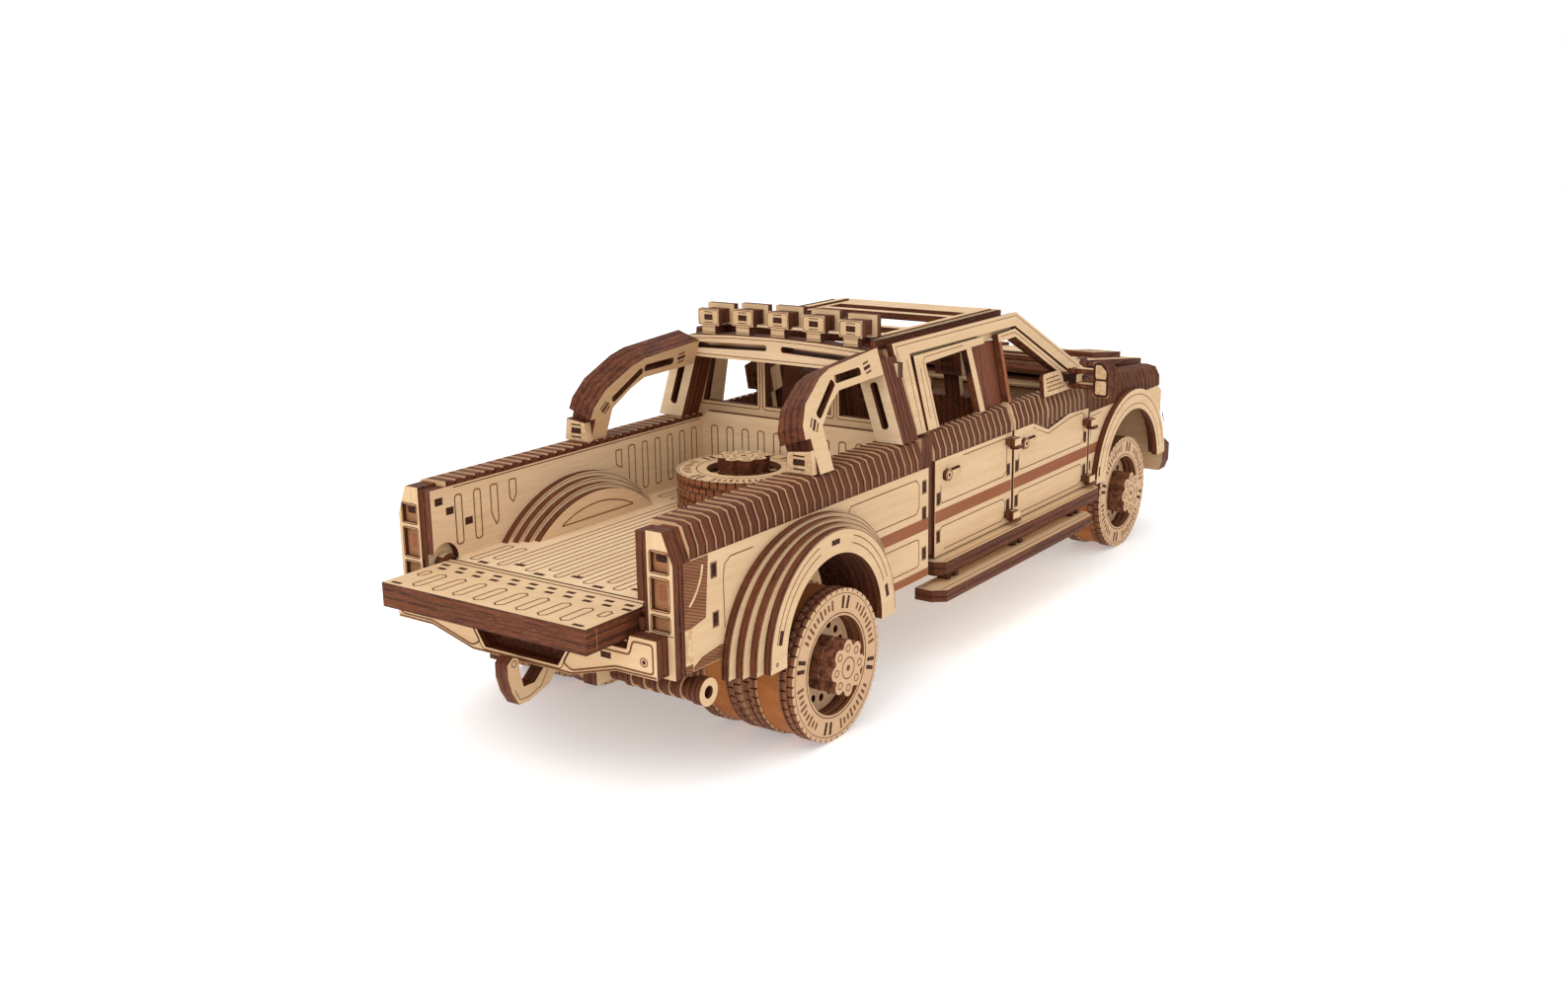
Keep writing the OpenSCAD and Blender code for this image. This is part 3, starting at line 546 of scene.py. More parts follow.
def hub(s, place, face, edge):
    """The lobed hub: stacked sheets, the outermost with a bolt ring in each lobe and a plain ring round the centre."""
    for k in range(HUB_SHEETS):
        top = HUB_PROUD - k * PLY
        s.plate(place, lobed(HUB_R - 0.12 * (k % 2)), top - PLY + 0.06, top, face, edge)
    cap = shifted(place, 0, 0, HUB_PROUD)
    s.line(cap, ring(0, 0, 4.0, 40))
    s.patch(cap, ring(0, 0, 1.2, 16), material=LINE)
    for a, b in around(LOBES, 7.6):
        s.line(cap, ring(a, b, 1.3, 16), THIN)


def dish(s, place):
    """The recessed disc with its vent holes, and the lobed hub of stacked sheets."""
    low, high = -DISH_DEPTH - PLY, -DISH_DEPTH
    rim = ring(0, 0, RIM_R - 0.02, 96)
    s.annulus(place, rim, circle_like(rim, 16.4), low, high, FACE_RING, EDGE)
    s.annulus(place, circle_like(rim, 11.6), circle_like(rim, 5.0), low, high, FACE_RING, EDGE)
    for i, (a, b) in enumerate(around(VENTS, 14.0)):
        start, end = 360 * i / VENTS + 9.2, 360 * (i + 1) / VENTS - 9.2
        s.plate(place, arc(0, 0, 16.45, start, end, 6) + arc(0, 0, 11.55, end, start, 6), low, high, FACE_RING, EDGE)
        step = 0.04 + 0.03 * (i % 2)
        s.annulus(place, ring(a, b, 3.4, 20), ring(a, b, 1.5, 20), low + step, high - step, FACE_RING, EDGE)
    s.plate(place, ring(0, 0, RIM_R - 0.1, 64), -DISH_DEPTH - 8.0, -DISH_DEPTH - 7.0, SLOT, SLOT)
    hub(s, place, FACE_RING, HUB_EDGE)


def wheel_place(u, face, sign):
    return lambda a, b, h: (X0 + (u + a) * MM, sign * (face + h) * MM, (AXLE_W + b) * MM)


def inner_core(s, place):
    """The inner wheel's web and core around the axle."""
    for outline, low, high in ((ring(0, 0, RIM_R, 96), -WHEEL_W + 6, -WHEEL_W + 12),
                               (ring(0, 0, 8.0, 48), -WHEEL_W + 12, 1.5)):
        s.annulus(place, outline, circle_like(outline, 3.02), low, high, FACE_RING, EDGE)


def road_wheel(s, place, outer=True):
    """Two tread packs with a smooth band between them, and the dish of an outer wheel or the core of an inner one."""
    tread_pack(s, place, 0.0)
    band = ring(0, 0, BAND_R, 128)
    s.annulus(place, band, circle_like(band, RIM_R), 2 * PLY - WHEEL_W, -2 * PLY, EDGE, BAND_MAT, EDGE)
    tread_pack(s, place, WHEEL_W - 2 * PLY)
    if outer:
        tyre_marks(s, place)
        dish(s, place)
    else:
        inner_core(s, place)


def wheels():
    for name, node, face, outer in (("rear_outer_wheel_stacks", "rear_outer_wheels", 77.0, True),
                                    ("rear_inner_wheel_stacks", "rear_inner_wheels", 53.5, False)):
        s = Sheet(name, "rear_axle")
        for sign in BOTH:
            road_wheel(s, wheel_place(REAR_AXLE, face, sign), outer)
        s.build([node])
    for side, sign in SIDES:
        s = Sheet(side + "_front_wheel_stacks", side + "_front_wheel")
        road_wheel(s, wheel_place(FRONT_AXLE, 60.0, sign))
        s.build([side + "_front_wheel"])


def spare_wheel():
    """The spare lies on the bed floor: five tread sheets under a marked face, with a lobed hub in the middle."""
    low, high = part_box("spare_wheel")
    cx, cy = (low.x + high.x) / 2, (low.y + high.y) / 2
    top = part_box("bed_floor")[1].z / MM + 5 * SPARE_SHEET
    place = lambda a, b, h: (cx + a * MM, cy + b * MM, (top + h) * MM)
    s = Sheet("spare_wheel_stack", "truck")
    for k in range(5):
        outline = toothed(0.5 * (k % 2), 26.8, 27.7 if k % 2 else 28.0)
        s.annulus(place, outline, circle_like(outline, 15.5), -(k + 1) * SPARE_SHEET, -k * SPARE_SHEET, TOP_FACE,
                  TREAD_FLAT)
    tyre_marks(s, place)
    s.plate(place, ring(0, 0, 15.6, 48), -5 * SPARE_SHEET, -8.4, SLOT, SLOT)
    hub(s, place, TOP_FACE, EDGE)
    for k in range(LOBES):
        t = 2 * math.pi * (k + 0.5) / LOBES
        arm = [(r * math.cos(t + d), r * math.sin(t + d)) for r, d in
               ((7.5, -0.22), (15.6, -0.09), (15.6, 0.09), (7.5, 0.22))]
        s.plate(place, arm, -6.0, -3.0, TOP_FACE, EDGE)
    s.build(["spare_wheel"])


# ---------- engraving and small parts, region by region ----------
def tailgate_top():
    s = Sheet("tailgate_engraving", "tailgate")
    top = on_top(TAILGATE_HIGH)
    under = lambda a, b, h: on_top(TAILGATE_LOW)(a, b, -h)
    s.stroke(top, [(6.3, -48), (6.3, 48)], 0.8)
    for k in range(8):
        v = -35 + 10 * k
        s.line(top, [(-21.5, v), (-20, v - 2), (-8, v - 2), (-6.5, v), (-8, v + 2), (-20, v + 2)], BOLD)
    for sign in BOTH:
        v = sign * 43
        s.line(top, [(-12, v), (-11, v - 1.5), (-7, v - 1.5), (-6, v), (-7, v + 1.5), (-11, v + 1.5)], BOLD)
        s.patch(top, rectangle(-23.0, v - 2.4, -21.4, v + 2.4))
        s.patch(on_side(48.2, sign), rectangle(-19.5, 58.6, -19.1, 66.2), material=STRIPE)
    for u, shift in ((-1.6, 0.0), (2.4, 2.2)):
        for k in range(11):
            v = -46 + 8.8 * k + shift
            s.patch(top, rectangle(u - 0.9, v - 1.9, u + 0.9, v + 1.9))
    for w in (61.0, 64.0):
        s.stroke(on_back(-24.5), [(-48, w), (48, w)], 0.25, 0.03)
    for k in range(5):
        s.line(under, pad(-20, -40 + 18 * k, -4, -30 + 18 * k, 2), BOLD)
    s.build()


def bed_floor_lines():
    s = Sheet("bed_floor_engraving", "truck")
    top = on_top(BED_FLOOR)
    for k in range(13):
        v = -42 + 7 * k
        start = 13.5 + (5.0 if k % 2 else 0.0)
        runs = [(start, 158.0)] if abs(v) < 34 else [(start, 34.0), (123.0, 158.0)]
        for a, b in runs:
            s.line(top, pad(a, v - 1.7, b, v + 1.7, 1.5), BOLD)
    for k in range(6):
        v = -38 + 14 * k + 3.5
        u = 11.8 if k % 2 else 16.5
        s.patch(top, rectangle(u, v - 2.4, u + 2.0, v + 2.4))
    s.build()


def tab_slot(s, face, u, w, half):
    """The burnt end of a tab in its slot, with a fine line around it."""
    s.line(face, rectangle(u - half - 0.3, w - 2.7, u + half + 0.3, w + 2.7), HAIR)
    s.patch(face, rectangle(u - half, w - 2.4, u + half, w + 2.4))


def oblong_row(s, place, middles, low, high):
    for u in middles:
        s.line(place, pad(u - 1.7, low, u + 1.7, high, 1.4), RIB)


def bed_inside():
    s = Sheet("bed_wall_engraving", "truck")
    cut_short = ([(31.2, 79.5), (33.6, 74.5), (34.8, 77.0), (34.8, 90.5), (31.2, 90.5)],
                 [(41.2, 83.6), (43.0, 81.4), (44.8, 84.5), (44.8, 90.5), (41.2, 90.5)],
                 [(111.5, 76.0), (115.5, 71.5), (115.5, 90.5), (111.5, 90.5)],
                 [(103.5, 84.0), (107.0, 82.0), (107.0, 90.0), (103.5, 90.0)])
    for sign in BOTH:
        wall = on_inside(BED_WALL, sign)
        oblong_row(s, wall, (14.6, 24.2), 71.5, 90.5)
        oblong_row(s, wall, [122.0 + 8.4 * k for k in range(5)], 70.5, 90.5)
        for outline, radius in zip(cut_short, (0.9, 0.8, 1.0, 0.8)):
            s.line(wall, rounded(outline, radius), RIB)
        for u, w in ((5.0, 89.6), (10.2, 85.2), (19.4, 79.4)):
            s.patch(wall, rectangle(u - 1.9, w - 1.4, u + 1.9, w + 1.4))
        s.stroke(wall, [(12.5, 93.6), (160, 93.6)], THIN)
        s.line(on_inside(TUB_FACE, sign), rounded(arc(REAR_AXLE, AXLE_W, 46.5, 62.4, 117.6, 20), 0.5, 1), RIB)
        for i in range(3):
            step = on_inside(BED_WALL - (i + 1) * PLY, sign)
            s.stroke(step, arc(REAR_AXLE, AXLE_W, 56.3 - 2 * i, 45, 135, 30), HAIR, 0.03)
    oblong_row(s, on_back(162.0), [-42 + 8.4 * k for k in range(11)], 70.5, 91.0)
    s.build()


def tail_lamp_faces():
    s = Sheet("tail_lamp_lenses", "truck")
    for sign in BOTH:
        face, well = on_back(0.0, sign), on_back(3.0, sign)
        for low, high in ((61.3, 66.5), (68.5, 79.4), (81.5, 88.5)):
            s.line(face, pad(55.1, low - 0.4, 63.3, high + 0.4, 1.1), THIN)
            s.patch(well, pad(55.5, low, 62.9, high, 0.5, 2), 1.2, LENS)
        inner = on_back(1.7, sign)
        s.patch(inner, pad(56.8, 84.8, 61.6, 87.2, 0.4, 2))
        s.patch(inner, pad(57.4, 71.5, 60.4, 76.8, 0.9, 2), material=STRIPE)
        s.stroke(face, [(54.4, 60.2), (64.5, 60.2)], FINE)
        s.patch(on_inside(54.0, sign), rectangle(0.6, 67.8, 2.6, 94.0), 0.02, STRIPE)
        side = on_side(FLANK, sign)
        s.stroke(side, [(3.0, 45.5), (3.0, 84.3)], HAIR, 0.04, SLOT)
        for low, high, material in ((45.5, 48.4, SIDE_LENS), (48.4, 61.0, PALE), (61.0, 84.3, SIDE_LENS)):
            s.patch(side, rectangle(5.0, low, 9.1, high), 0.05, material)
        s.stroke(side, [(5.0, 45.5), (5.0, 84.3)], HAIR, 0.07, SLOT)
    s.build()


def flank():
    s = Sheet("flank_engraving", "truck")
    for sign in BOTH:
        side = on_side(FLANK, sign)
        s.patch(side, [(9.1, 61.0), (16.6, 62.6), (18.6, 84.2), (9.1, 84.2)], material=SIDE_LENS)
        s.stroke(side, arc(-4.2, 84.2, 19.8, -52, -8, 14), 1.1, 0.09, PALE)
        s.stroke(side, arc(-4.2, 84.2, 20.6, -52, -8, 14), 0.25, 0.10)
        for u, w in ((21.5, 78.0), (22.0, 60.5), (161.6, 77.0), (161.6, 66.0), (161.6, 49.0)):
            tab_slot(s, side, u, w, 1.3)
        s.stroke(side, [(27.0, 56.0), (26.6, 74.0), (27.6, 78.6), (31.0, 80.6), (44.0, 80.6)], PANEL)
        s.line(side, chamfered(104.5, 66.8, 157.5, 81.0, 2.4), PANEL)
        s.line(side, rounded([(118.0, 44.4), (157.5, 44.4), (157.5, 56.0), (116.4, 56.0)], 2.0), PANEL)
        for low, high in ((58.6, 63.6), (38.8, 42.2)):
            s.patch(side, rectangle(113.6, low, 164.8, high), material=STRIPE)
        s.patch(side, [(9.4, 45.7), (40.0, 45.7), (36.5, 48.6), (24.0, 50.6), (14.0, 49.2), (9.4, 46.8)],
                material=SIDE_LENS)
        s.stroke(side, [(9.4, 46.8), (14.0, 49.2), (24.0, 50.6), (36.5, 48.6)], HAIR, 0.07)
    s.build()


def flare_radius(ply, degrees):
    """Outer edge of one ply of the rear arch: the inner plies spread out at their feet."""
    return 44.4 - 1.3 * ply + (9.2 - 2.8 * ply) * math.cos(math.radians(degrees)) ** 2


def arches():
    s = Sheet("rear_arch_engraving", "truck")
    cu, cw = REAR_AXLE, 39.6
    for sign in BOTH:
        face = on_side(ARCH_FACE, sign)
        for k in range(5):
            lining = arc(cu, cw, 33.4, 4, 176, 30) + arc(cu, cw, 31.7 + 0.2 * (k % 2), 176, 4, 30)
            s.plate(on_side(50.0 + k * PLY, sign), lining, 0.0, PLY - 0.1, EDGE, EDGE)
        s.plate(on_side(50.0, sign), arc(cu, cw, 31.6, 37, 143, 20), 0.0, 1.0, SLOT, SLOT)
        for start, end in ((22, 72), (106, 168)):
            s.stroke(face, arc(cu, cw, 38.0, start, end), FINE)
            s.stroke(face, arc(cu, cw, 35.2, start, end), FINE)
        for turn in (90, 164, 14):
            s.patch(face, [(cu + a, cw + b) for a, b in radial_bar(turn, 35.2, 37.2, 5.2)])
        for k in range(4):
            rim = [arc(cu, cw, flare_radius(k, t) - 0.3, t, t, 1)[0] for t in range(0, 181, 4)]
            s.stroke(on_side(FLANK + (k + 1) * PLY, sign), rim, HAIR, 0.03)
        s.line(face, ring(cu - 37.4, 40.6, 0.6, 10), THIN)
    s.build()
    s = Sheet("front_arch_engraving", "truck")
    for sign in BOTH:
        face = on_side(FLANK, sign)
        s.stroke(face, arc(FRONT_AXLE, 39.5, 40.9, 12, 168, 40), THIN)
        s.stroke(face, arc(FRONT_AXLE, 39.5, 36.2, 12, 168, 40), HAIR)
        s.patch(face, [(332.6, 46.0), (334.2, 46.0), (334.6, 50.6), (333.0, 50.6)])
        s.patch(face, [(414.2, 60.0), (415.4, 59.0), (413.2, 64.4), (411.9, 64.6)])
    s.build()


def bumper():
    s = Sheet("rear_bumper_engraving", "truck")
    rim = [(60.3, 48.2), (60.3, 58.4), (51.8, 58.4), (50.2, 53.4), (26.0, 53.4), (20.0, 44.6), (24.0, 42.6),
           (44.0, 48.2)]
    for sign in BOTH:
        place = on_back(BUMPER_BACK, sign)
        s.line(place, rounded(rim, 1.2, 2), 0.7)
        s.stroke(place, [(61.5, 47.2), (44.0, 47.0), (24.0, 41.5), (0.0, 41.5)], 0.7)
        s.patch(place, rectangle(37.5, 50.2, 42.0, 52.4))
        s.line(place, ring(56.4, 51.8, 1.5, 18), THIN)
        s.patch(place, ring(56.4, 51.8, 0.8, 12))
    s.patch(on_back(-0.3), [(-17.5, 43.0), (17.5, 43.0), (21.5, 49.0), (-21.5, 49.0)], 0.1, EDGE)
    opening = rounded([(-18.9, 42.1), (18.9, 42.1), (23.2, 50.0), (-23.2, 50.0)], 1.0, 2)
    s.line(on_back(BUMPER_BACK), opening, THIN)
    s.build()


def tow_hook():
    s = Sheet("tow_hook_engraving", "truck")
    for sign in BOTH:
        face = on_side(3.0, sign)
        s.line(face, ring(-12.6, 42.6, 1.1, 16), FINE)
        s.stroke(face, [(6.5, 39.4), (0.0, 30.6), (-6.5, 28.6), (-10.6, 28.8), (-12.9, 33.0)], HAIR)
    s.build()


def hoop_details():
    s = Sheet("roll_bar_engraving", "truck")
    for sign in BOTH:
        for outside in (True, False):
            face = on_hoop(sign, outside)
            for u, w, turn in ((94.6, 14.2, 52), (138.6, 29.6, 10)):
                t = math.radians(turn)
                d, n = Vector((math.cos(t), math.sin(t))), Vector((-math.sin(t), math.cos(t)))
                for off, half in ((-1.9, 2.0), (0.0, 2.4), (1.9, 2.0)):
                    mid = Vector((u, w)) + n * off
                    s.stroke(face, [mid - d * half, mid + d * half], 1.3 if off == 0 else 0.8,
                           material=SLOT if off == 0 else LINE)
        foot = on_back(87.0, sign)
        s.patch(foot, [(49.1, 96.6), (60.9, 96.6), (59.9, 105.3), (50.1, 104.2)], 0.02, PALE)
        s.patch(foot, rectangle(52.4, 99.6, 57.6, 102.0))
        for w in (98.2, 103.2):
            s.stroke(foot, [(52.4, w), (57.6, w)], 0.6, material=SLOT)
    s.build()
    s = Sheet("roll_bar_header_engraving", "truck")
    for face in (on_back(HEADER_BACK), on_front(HEADER_FRONT)):
        rim = [(-45.5, 125.2), (-48.8, 127.8), (-44, 131.6), (-22, 132.9), (0, 133.3), (22, 132.9), (44, 131.6),
               (48.8, 127.8), (45.5, 125.2)]
        s.line(face, rounded(rim, 1.0, 2), HAIR)
    s.build()


def spotlight_faces():
    s = Sheet("spotlight_windows", "truck")
    for i in range(-2, 3):
        drop = 0.24 * i * i
        place = shifted(on_back(LIGHT_BACK), LIGHT_PITCH * i, -drop, 0)
        s.patch(place, rectangle(-2.2, 140.3, 2.2, 142.7))
        for w in (139.3, 143.7):
            s.stroke(place, [(-2.2, w), (2.2, w)], FINE, material=SLOT)
        s.line(place, pad(-5.1, 138.4, 5.1, 144.6, 1.2, 2), HAIR)
        s.line(place, rectangle(-3.5, 135.2, 3.5, 137.4), 0.25)
        front = shifted(on_front(LIGHT_FRONT), LIGHT_PITCH * i, -drop, 0)
        s.line(front, pad(-6.2, 138.2, 6.2, 145.8, 1.2, 2), THIN)
        s.patch(front, ring(0, 142.0, 2.6, 24), material=LENS)
        s.line(front, ring(0, 142.0, 3.1, 24), FINE)
    s.build()


def door_top(back_from_edge):
    """Height of the top edge of a front door skin, by the distance back from its front edge."""
    d = back_from_edge
    if d > 60:
        return 84.5
    if d > 44:
        return 79 + (d - 44) * 5.5 / 16
    return 82.5 - (d - 22) * 3.5 / 22 if d > 22 else 81.5 + d / 22


def on_slope(u, low, high, sign):
    """The sloping edge of a slat between two points (v, w): the second coordinate runs from 0 at the low one to 1."""
    (v0, w0), (v1, w1) = low, high
    length = math.hypot(v1 - v0, w1 - w0)
    nv, nw = (w1 - w0) / length, -(v1 - v0) / length

    def place(a, t, h):
        v, w = v0 + (v1 - v0) * t + nv * h, w0 + (w1 - w0) * t + nw * h
        return (X0 + (u + a) * MM, sign * v * MM, w * MM)
    return place


def door_window(s, sign, which):
    """Lines on the window frame; in front also the striped rear post and the louvred plate behind the mirror."""
    glass = on_lean(sign)
    if which == "rear":
        s.stroke(glass, [(184.2, -0.5), (182.2, 27.6), (184.0, 29.6), (216.6, 30.0)], HAIR)
        s.stroke(glass, [(180.0, 4.0), (179.2, 26.0)], HAIR)
        return
    s.stroke(glass, [(251.8, 29.2), (265.4, 29.4), (306.0, 4.8)], HAIR)
    s.patch(glass, [(248.1, -0.4), (250.6, -0.4), (251.4, 27.0), (248.9, 27.0)], material=STRIPE)
    louvre = rounded([(278.5, -3.4), (281.0, 7.0), (298.0, 6.8), (307.0, -3.4)], 1.0, 2)
    s.plate(on_lean(sign, 1.6), louvre, -1.5, 0.5, PALE, EDGE)
    for k in range(4):
        w = -1.2 + 1.9 * k
        s.stroke(on_lean(sign, 2.1), [(282.6 + 0.3 * k, w), (300.5 - 1.4 * k, w)], RIB)


def door_slats(body, sign, which):
    """Pale slivers where a slat's flat side shows at the step to its neighbour."""
    u0, u1, pitch = DOORS[which]
    s = Sheet(body + "_slat_faces", body)
    outer = [(62.0, 84.6), (61.8, 88.5), (59.2, 95.6), (55.6, 96.5)]
    slivers = [(u0, 0.1, 1.3), (u0 + 7 * pitch, 0.1, 0.45)]
    if which == "rear":
        outer = [(62.0, 84.6), (61.8, 88.4)]
        slivers = [(u1 - 0.5, -0.5, 0.3)]
    for u, start, end in slivers:
        for low, high in zip(outer, outer[1:]):
            s.patch(on_slope(u, low, high, sign), rectangle(start, 0.0, end, 1.0), 0.06, PALE)
    s.build()


def door(side, sign, which):
    """Engraving, stripe, tab slots and handle of one door, then its window and its slats."""
    u0, u1, _ = DOORS[which]
    body = f"{side}_{which}_door"
    s = Sheet(body + "_engraving", body)
    face, handle = on_side(SKIN, sign), on_side(63.5, sign)
    s.patch(face, rectangle(u0 + 0.4, 57.6, u1 - 0.4, 62.8), material=STRIPE)
    upper = [(u0 + 6, 65.4), (u1 - 8, 65.4), (u1 - 5, 67.6)]
    if which == "front":
        upper += [(u1 - 5, 79.4), (u1 - 8, 80.6)]
        upper += [(u1 - d, door_top(d) - 2.0) for d in (20.0, 44.0, 60.0)]
        upper += [(u0 + 21, 82.4)]
    else:
        upper += [(u1 - 5, 81.4), (u1 - 7.6, 82.6), (u0 + 24, 82.6)]
    s.stroke(face, upper, PANEL)
    s.stroke(face, [(u0 + 6, 65.4), (u0 + 5, 67.0), (u0 + 5, 73.0)], PANEL)
    s.stroke(face, [(u0 + 8, 45.2), (u1 - 9, 45.2), (u1 - 6, 47.4), (u1 - 6, 53.2), (u1 - 8.4, 55.2), (u0 + 6, 55.2),
                  (u0 + 4.4, 53.6)], PANEL)
    for u in (u0 + 3.0, u1 - 3.3):
        for w in (51.5, 67.8):
            tab_slot(s, face, u, w, 1.2)
    s.patch(face, pad(u0 + 6.4, 75.2, u0 + 21.0, 79.0, 0.8, 2), 0.07)
    s.line(handle, ring(u0 + 9.5, 77.0, 2.1, 20), 0.6)
    s.patch(handle, ring(u0 + 9.5, 77.0, 0.9, 12))
    s.patch(handle, rectangle(u0 + 12.6, 76.2, u0 + 19.5, 78.0), 0.05, PALE)
    door_window(s, sign, which)
    s.build()
    door_slats(body, sign, which)


def doors():
    for side, sign in SIDES:
        for which, (start, _, pitch) in DOORS.items():
            node = f"{side}_{which}_door_frame"
            dress(node, frame_material(node, start, pitch))
            door(side, sign, which)


def frame_material(name, start, pitch):
    """A door frame holds two kinds of sheet: slats across X below the belt line, and a leaned window frame above it."""
    g = Graph("ply_" + name)
    x, y, z = g.split(g.point)
    nx, ny, nz = g.split(g.normal)
    out = leaned(g, g.times(ny, g.math("SIGN", y)), nz, LEAN)
    above = g.ramp(z, 96.6 * MM, 96.8 * MM)
    facing = g.math("ADD", g.times(g.size(out), above), g.times(g.size(nx), g.less(1.0, above)))
    layer = g.math("FRACT", g.math("DIVIDE", g.less(x, X0 + start * MM), pitch * MM))
    veneer, _ = birch_colour(g, "X")
    burnt, glue = burnt_colour(g, layer, g.scaled(g.point, (3.0, 0.2, 0.2)), 0.35)
    on_face = g.ramp(facing, 0.72, 0.80)
    return g.finish(g.mix(on_face, burnt, veneer), g.less(1.0, glue), 0.25, 0.0002)


def cab_details():
    s = Sheet("cab_engraving", "truck")
    for sign in BOTH:
        skin = on_lean(sign)
        s.stroke(skin, [(167.6, 1.0), (163.4, 36.6), (269.4, 36.6), (328.6, 1.6)], HAIR)
        s.stroke(skin, [(171.8, 1.0), (170.0, 30.6)], HAIR)
        pillar = on_lean(sign, -3.5)
        s.stroke(pillar, [(233.2, 1.0), (236.8, 27.6)], FINE, LIFT, SLOT)
        s.stroke(pillar, [(230.0, 1.0), (231.0, 27.6)], 0.25, LIFT, SLOT)
        rail = on_top(135.3)
        for v in (40.6, 41.6, 42.5):
            s.stroke(rail, [(160.6, sign * v), (265.6, sign * v)], HAIR, 0.04, SLOT)
        fender = on_side(SKIN, sign)
        s.patch(fender, rectangle(326.8, 58.0, 340.5, 62.8), material=STRIPE)
        s.stroke(fender, [(328.4, 66.0), (328.4, 76.6), (340.6, 77.2)], FINE)
        s.patch(fender, rectangle(327.6, 50.0, 329.0, 54.4))
        s.patch(on_back(160.0), rectangle(sign * 41.5 - 1.2, 132.4, sign * 41.5 + 1.2, 134.9), 0.04, STRIPE)
    s.line(on_back(CAB_BACK), pad(-18.4, 99.6, 18.4, 121.9, 1.6), THIN)
    for sign in BOTH:
        s.line(on_back(CAB_BACK, sign), rounded([(19.8, 99.6), (52.6, 99.6), (46.6, 121.9), (19.8, 121.9)], 1.6), THIN)
    s.line(on_back(315.0), pad(-44, 91.5, 44, 93.5, 0.6, 2), HAIR)
    for v0, v1 in ((-46, -14), (-10, 10), (14, 46)):
        s.line(on_back(322.0), pad(v0, 72.5, v1, 89.0, 2.0), THIN)
    s.build()


def seat_face(u, v, depth, out):
    """The rear (out -1) or front (out 1) face of a leaned seat back; heights run up along it."""
    def place(a, b, h):
        along = depth + out * h
        x = u + along * math.cos(SEAT_LEAN) - b * math.sin(SEAT_LEAN)
        z = 58 + along * math.sin(SEAT_LEAN) + b * math.cos(SEAT_LEAN)
        return (X0 + x * MM, (v + a) * MM, z * MM)
    return place


def seats():
    s = Sheet("seat_slots", "truck")
    rows = [(266.0, v, 30.0) for v in (24.0, -24.0)] + [(190.0, v, 26.0) for v in (-28.0, 0.0, 28.0)]
    for u, v, width in rows:
        for rest_depth, back_depth, out in ((-2.0, -1.0, -1), (5.0, 5.0, 1)):
            rest = seat_face(u, v, rest_depth, out)
            for low in (51.0, 55.0):
                s.patch(rest, pad(-3.6, low, 3.6, low + 2.2, 0.6, 2))
            s.line(rest, pad(-6.2, 49.8, 6.2, 59.2, 1.4, 2), FINE)
            back = seat_face(u, v, back_depth, out)
            for k in range(3):
                a = (k - 1) * width / 3.6
                s.line(back, pad(a - 2.6, 6, a + 2.6, 34, 2.0), THIN)
    s.build()


def running_board_details():
    s = Sheet("running_board_engraving", "truck")
    for sign in BOTH:
        for w, v, u0, u1 in ((33.0, 62.0, 166, 310), (33.0, 70.6, 166, 310), (42.3, 66.4, 176, 325)):
            s.stroke(on_top(w, sign), [(u0, v), (u1, v)], FINE)
        for u in (180.0, 240.0, 300.0):
            s.patch(on_side(66.0, sign), rectangle(u + 0.8, 33.6, u + 2.2, 35.8))
        s.stroke(on_side(68.0, sign), [(175.4, 39.3), (325.6, 39.3)], HAIR, 0.04, SLOT)
    s.build()


def hinge_faces():
    s = Sheet("door_hinge_caps", "truck")
    for sign in BOTH:
        for u, w in ((244.5, 46.0), (244.5, 79.5), (325.0, 46.0), (325.0, 74.0)):
            s.line(on_side(66.8, sign), rectangle(u - 2.2, w - 1.8, u + 1.0, w - 0.6), 0.2, True, 0.03)
    s.build()


def mirror_inset(outline, across, up):
    """The outline drawn in towards the middle of the mirror."""
    return [(MIRROR_V + (a - MIRROR_V) * across, MIRROR_W + (b - MIRROR_W) * up) for a, b in outline]


def mirrors():
    """Layered surround, rounded outside, around two pale glass panels on a double arm."""
    for side, sign in SIDES:
        s = Sheet(side + "_mirror_housing", side + "_mirror")
        outline = rounded([(75.0, 92.4), (83.0, 92.4), (83.0, 105.4), (79.4, 109.0), (75.0, 109.0)], 1.6, 4)
        for k in range(3):
            inset = 0.25 * (k % 2)
            sheet = mirror_inset(outline, 1 - inset / 4, 1 - inset / 8)
            s.plate(on_front(MIRROR_BACK + PLY * k, sign), sheet, 0.0, PLY, EDGE if k else PALE, EDGE)
        back = on_back(MIRROR_BACK, sign)
        rim = mirror_inset(outline, 0.8, 0.9)
        s.line(back, rim, 1.5, True, 0.07, SLOT)
        s.patch(back, rounded([(76.3, 101.8), (81.7, 101.8), (81.7, 104.8), (79.0, 107.6), (76.3, 107.6)], 0.6, 2),
                0.09, PALE)
        s.patch(back, pad(76.3, 93.8, 81.7, 99.6, 0.6, 2), 0.09, PALE)
        s.patch(back, rectangle(76.0, 100.2, 82.0, 101.2), 0.08, SLOT)
        for w in (95.4, 102.5):
            arm = on_top(w, sign)
            s.plate(arm, [(301.5, 61.6), (305.5, 61.6), (305.5, 75.0), (301.5, 75.0)], 0.0, 2.4, PALE, EDGE)
            s.patch(on_back(301.5, sign), rectangle(68.5, w + 0.8, 71.0, w + 1.6), 0.05, LINE)
        s.plate(on_top(95.4, sign), [(303.5 + a, 64.0 + b) for a, b in ring(0, 0, 1.25, 24)], 0.0, 9.5, EDGE, EDGE)
        s.build([side + "_mirror"])


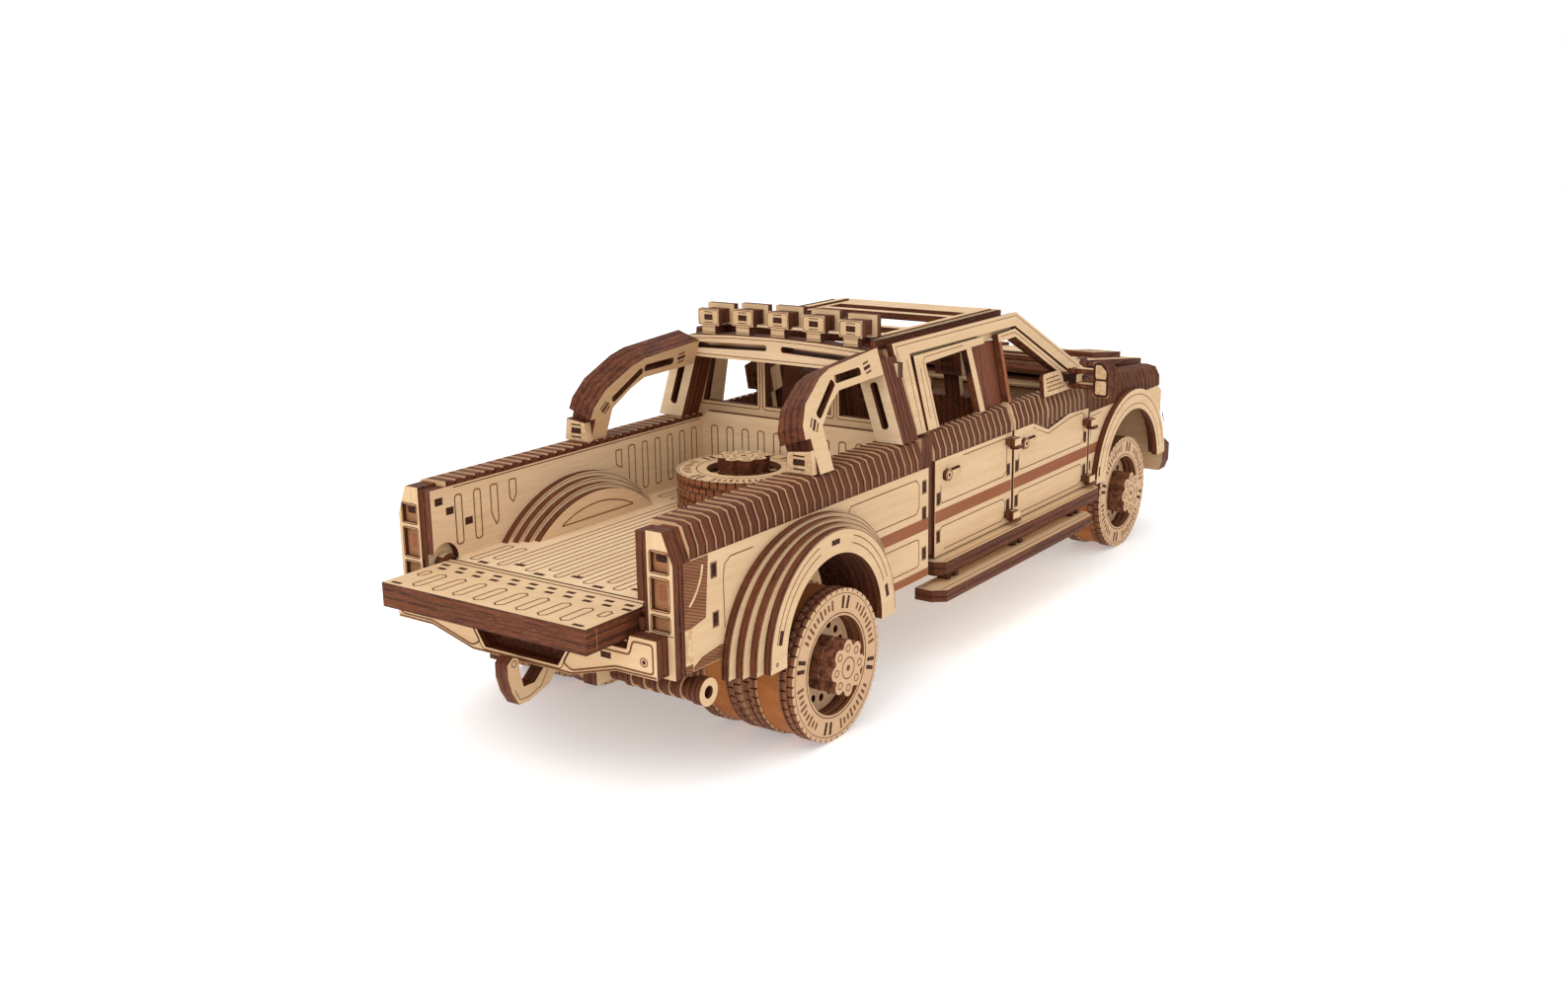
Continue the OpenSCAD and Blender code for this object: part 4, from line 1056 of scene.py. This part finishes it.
def hood_lines():
    s = Sheet("hood_engraving", "hood")
    def skin(a, b, h):
        x = 342 + a * math.cos(HOOD_FALL) + h * math.sin(HOOD_FALL)
        z = 101.5 - a * math.sin(HOOD_FALL) + h * math.cos(HOOD_FALL)
        return (X0 + x * MM, b * MM, z * MM)
    for sign in BOTH:
        s.stroke(skin, [(6, sign * 22), (74, sign * 22)], 0.45)
        s.stroke(skin, [(14, sign * 46.5), (76, sign * 46.5)], 0.45)
        s.line(shifted(skin, 0, 0, 3.0), pad(31.4, sign * 33 - 7.6, 64.6, sign * 33 + 7.6, 1.6), FINE)
    s.line(shifted(skin, 0, 0, 1.5), rounded([(8, -16), (70, -12), (70, 12), (8, 16)], 3), 0.45)
    s.build()


def front_end():
    s = Sheet("front_end_engraving", "truck")
    for sign in BOTH:
        lamp = on_front(423.0, sign)
        s.line(lamp, [(40.4, 63.3), (55.6, 63.3), (55.6, 76.4), (52.2, 82.6), (40.4, 82.6)], THIN)
        for w in (65.0, 74.5):
            s.patch(on_front(420.0, sign), pad(42.0, w, 53.0, w + 6.5, 0.6, 2), 1.0, LENS)
            s.line(on_front(421.1, sign), ring(47.5, w + 3.2, 2.2, 20), THIN)
        bumper_face = on_front(429.0, sign)
        s.line(bumper_face, [(55.5, 33.0), (60.4, 36.6), (60.4, 44.6), (58.6, 46.0), (55.5, 46.0)], THIN)
    grille_face = on_front(423.0)
    s.line(grille_face, pad(-35.6, 49.4, 35.6, 83.6, 2), THIN)
    s.stroke(grille_face, [(0, 50), (0, 83)], THIN)
    front = on_front(434.0)
    s.line(front, [(-51, 35.2), (51, 35.2), (52.8, 38.4), (52.8, 42.8), (-52.8, 42.8), (-52.8, 38.4)], THIN)
    s.build()


# ---------- stage ----------
def floor():
    bm = bmesh.new()
    bmesh.ops.create_grid(bm, x_segments=2, y_segments=2, size=3.0)
    mesh = bpy.data.meshes.new("floor")
    bm.to_mesh(mesh)
    bm.free()
    g = Graph("floor_paint", 0.9)
    g.finish(g.mix(g.noise(g.point, 3.0), (0.93, 0.93, 0.93), (0.96, 0.96, 0.96)))
    g.shader.inputs["Emission Color"].default_value = (1.0, 1.0, 1.0, 1)
    g.shader.inputs["Emission Strength"].default_value = 0.3
    mesh.materials.append(g.mat)
    linked("floor", mesh)


def key_lamp():
    data = bpy.data.lights.new("key", "AREA")
    data.shape, data.size, data.energy = "DISK", 1.2, 10.0
    obj = linked("key", data)
    obj.location = (-1.2, 0.0, 1.5)
    obj.rotation_euler = (obj.location - Vector((0.0, 0.0, 0.05))).to_track_quat("Z", "Y").to_euler()


def studio():
    world = bpy.data.worlds.new("studio")
    bpy.context.scene.world = world
    world.use_nodes = True
    colour, strength = world.node_tree.nodes["Background"].inputs[:2]
    colour.default_value, strength.default_value = (1.0, 1.0, 1.0, 1), 1.0
    key_lamp()
    bpy.context.scene.view_settings.view_transform = "Standard"


def camera():
    azimuth, elevation, roll = math.radians(-54.7), math.radians(14.2), math.radians(-0.88)
    data = bpy.data.cameras.new("camera")
    data.lens, data.sensor_width = 36.58, 36.0
    obj = linked("camera", data)
    right = Vector((math.cos(azimuth), math.sin(azimuth), 0))
    back = Vector((math.sin(azimuth) * math.cos(elevation), -math.cos(azimuth) * math.cos(elevation),
                   math.sin(elevation)))
    up = back.cross(right)
    turned = right * math.cos(roll) + up * math.sin(roll)
    upright = up * math.cos(roll) - right * math.sin(roll)
    obj.matrix_world = Matrix.Translation((-0.5874, -0.3806, 0.2337)) @ Matrix(
        (turned, upright, back)).transposed().to_4x4()
    bpy.context.scene.camera = obj


for step in (dress_cad, wheels, spare_wheel, tailgate_top, bed_floor_lines, bed_inside, tail_lamp_faces, flank, arches,
             bumper, tow_hook, hoop_details, spotlight_faces, doors, cab_details, seats, running_board_details,
             hinge_faces, mirrors, hood_lines, front_end, floor, studio, camera):
    step()
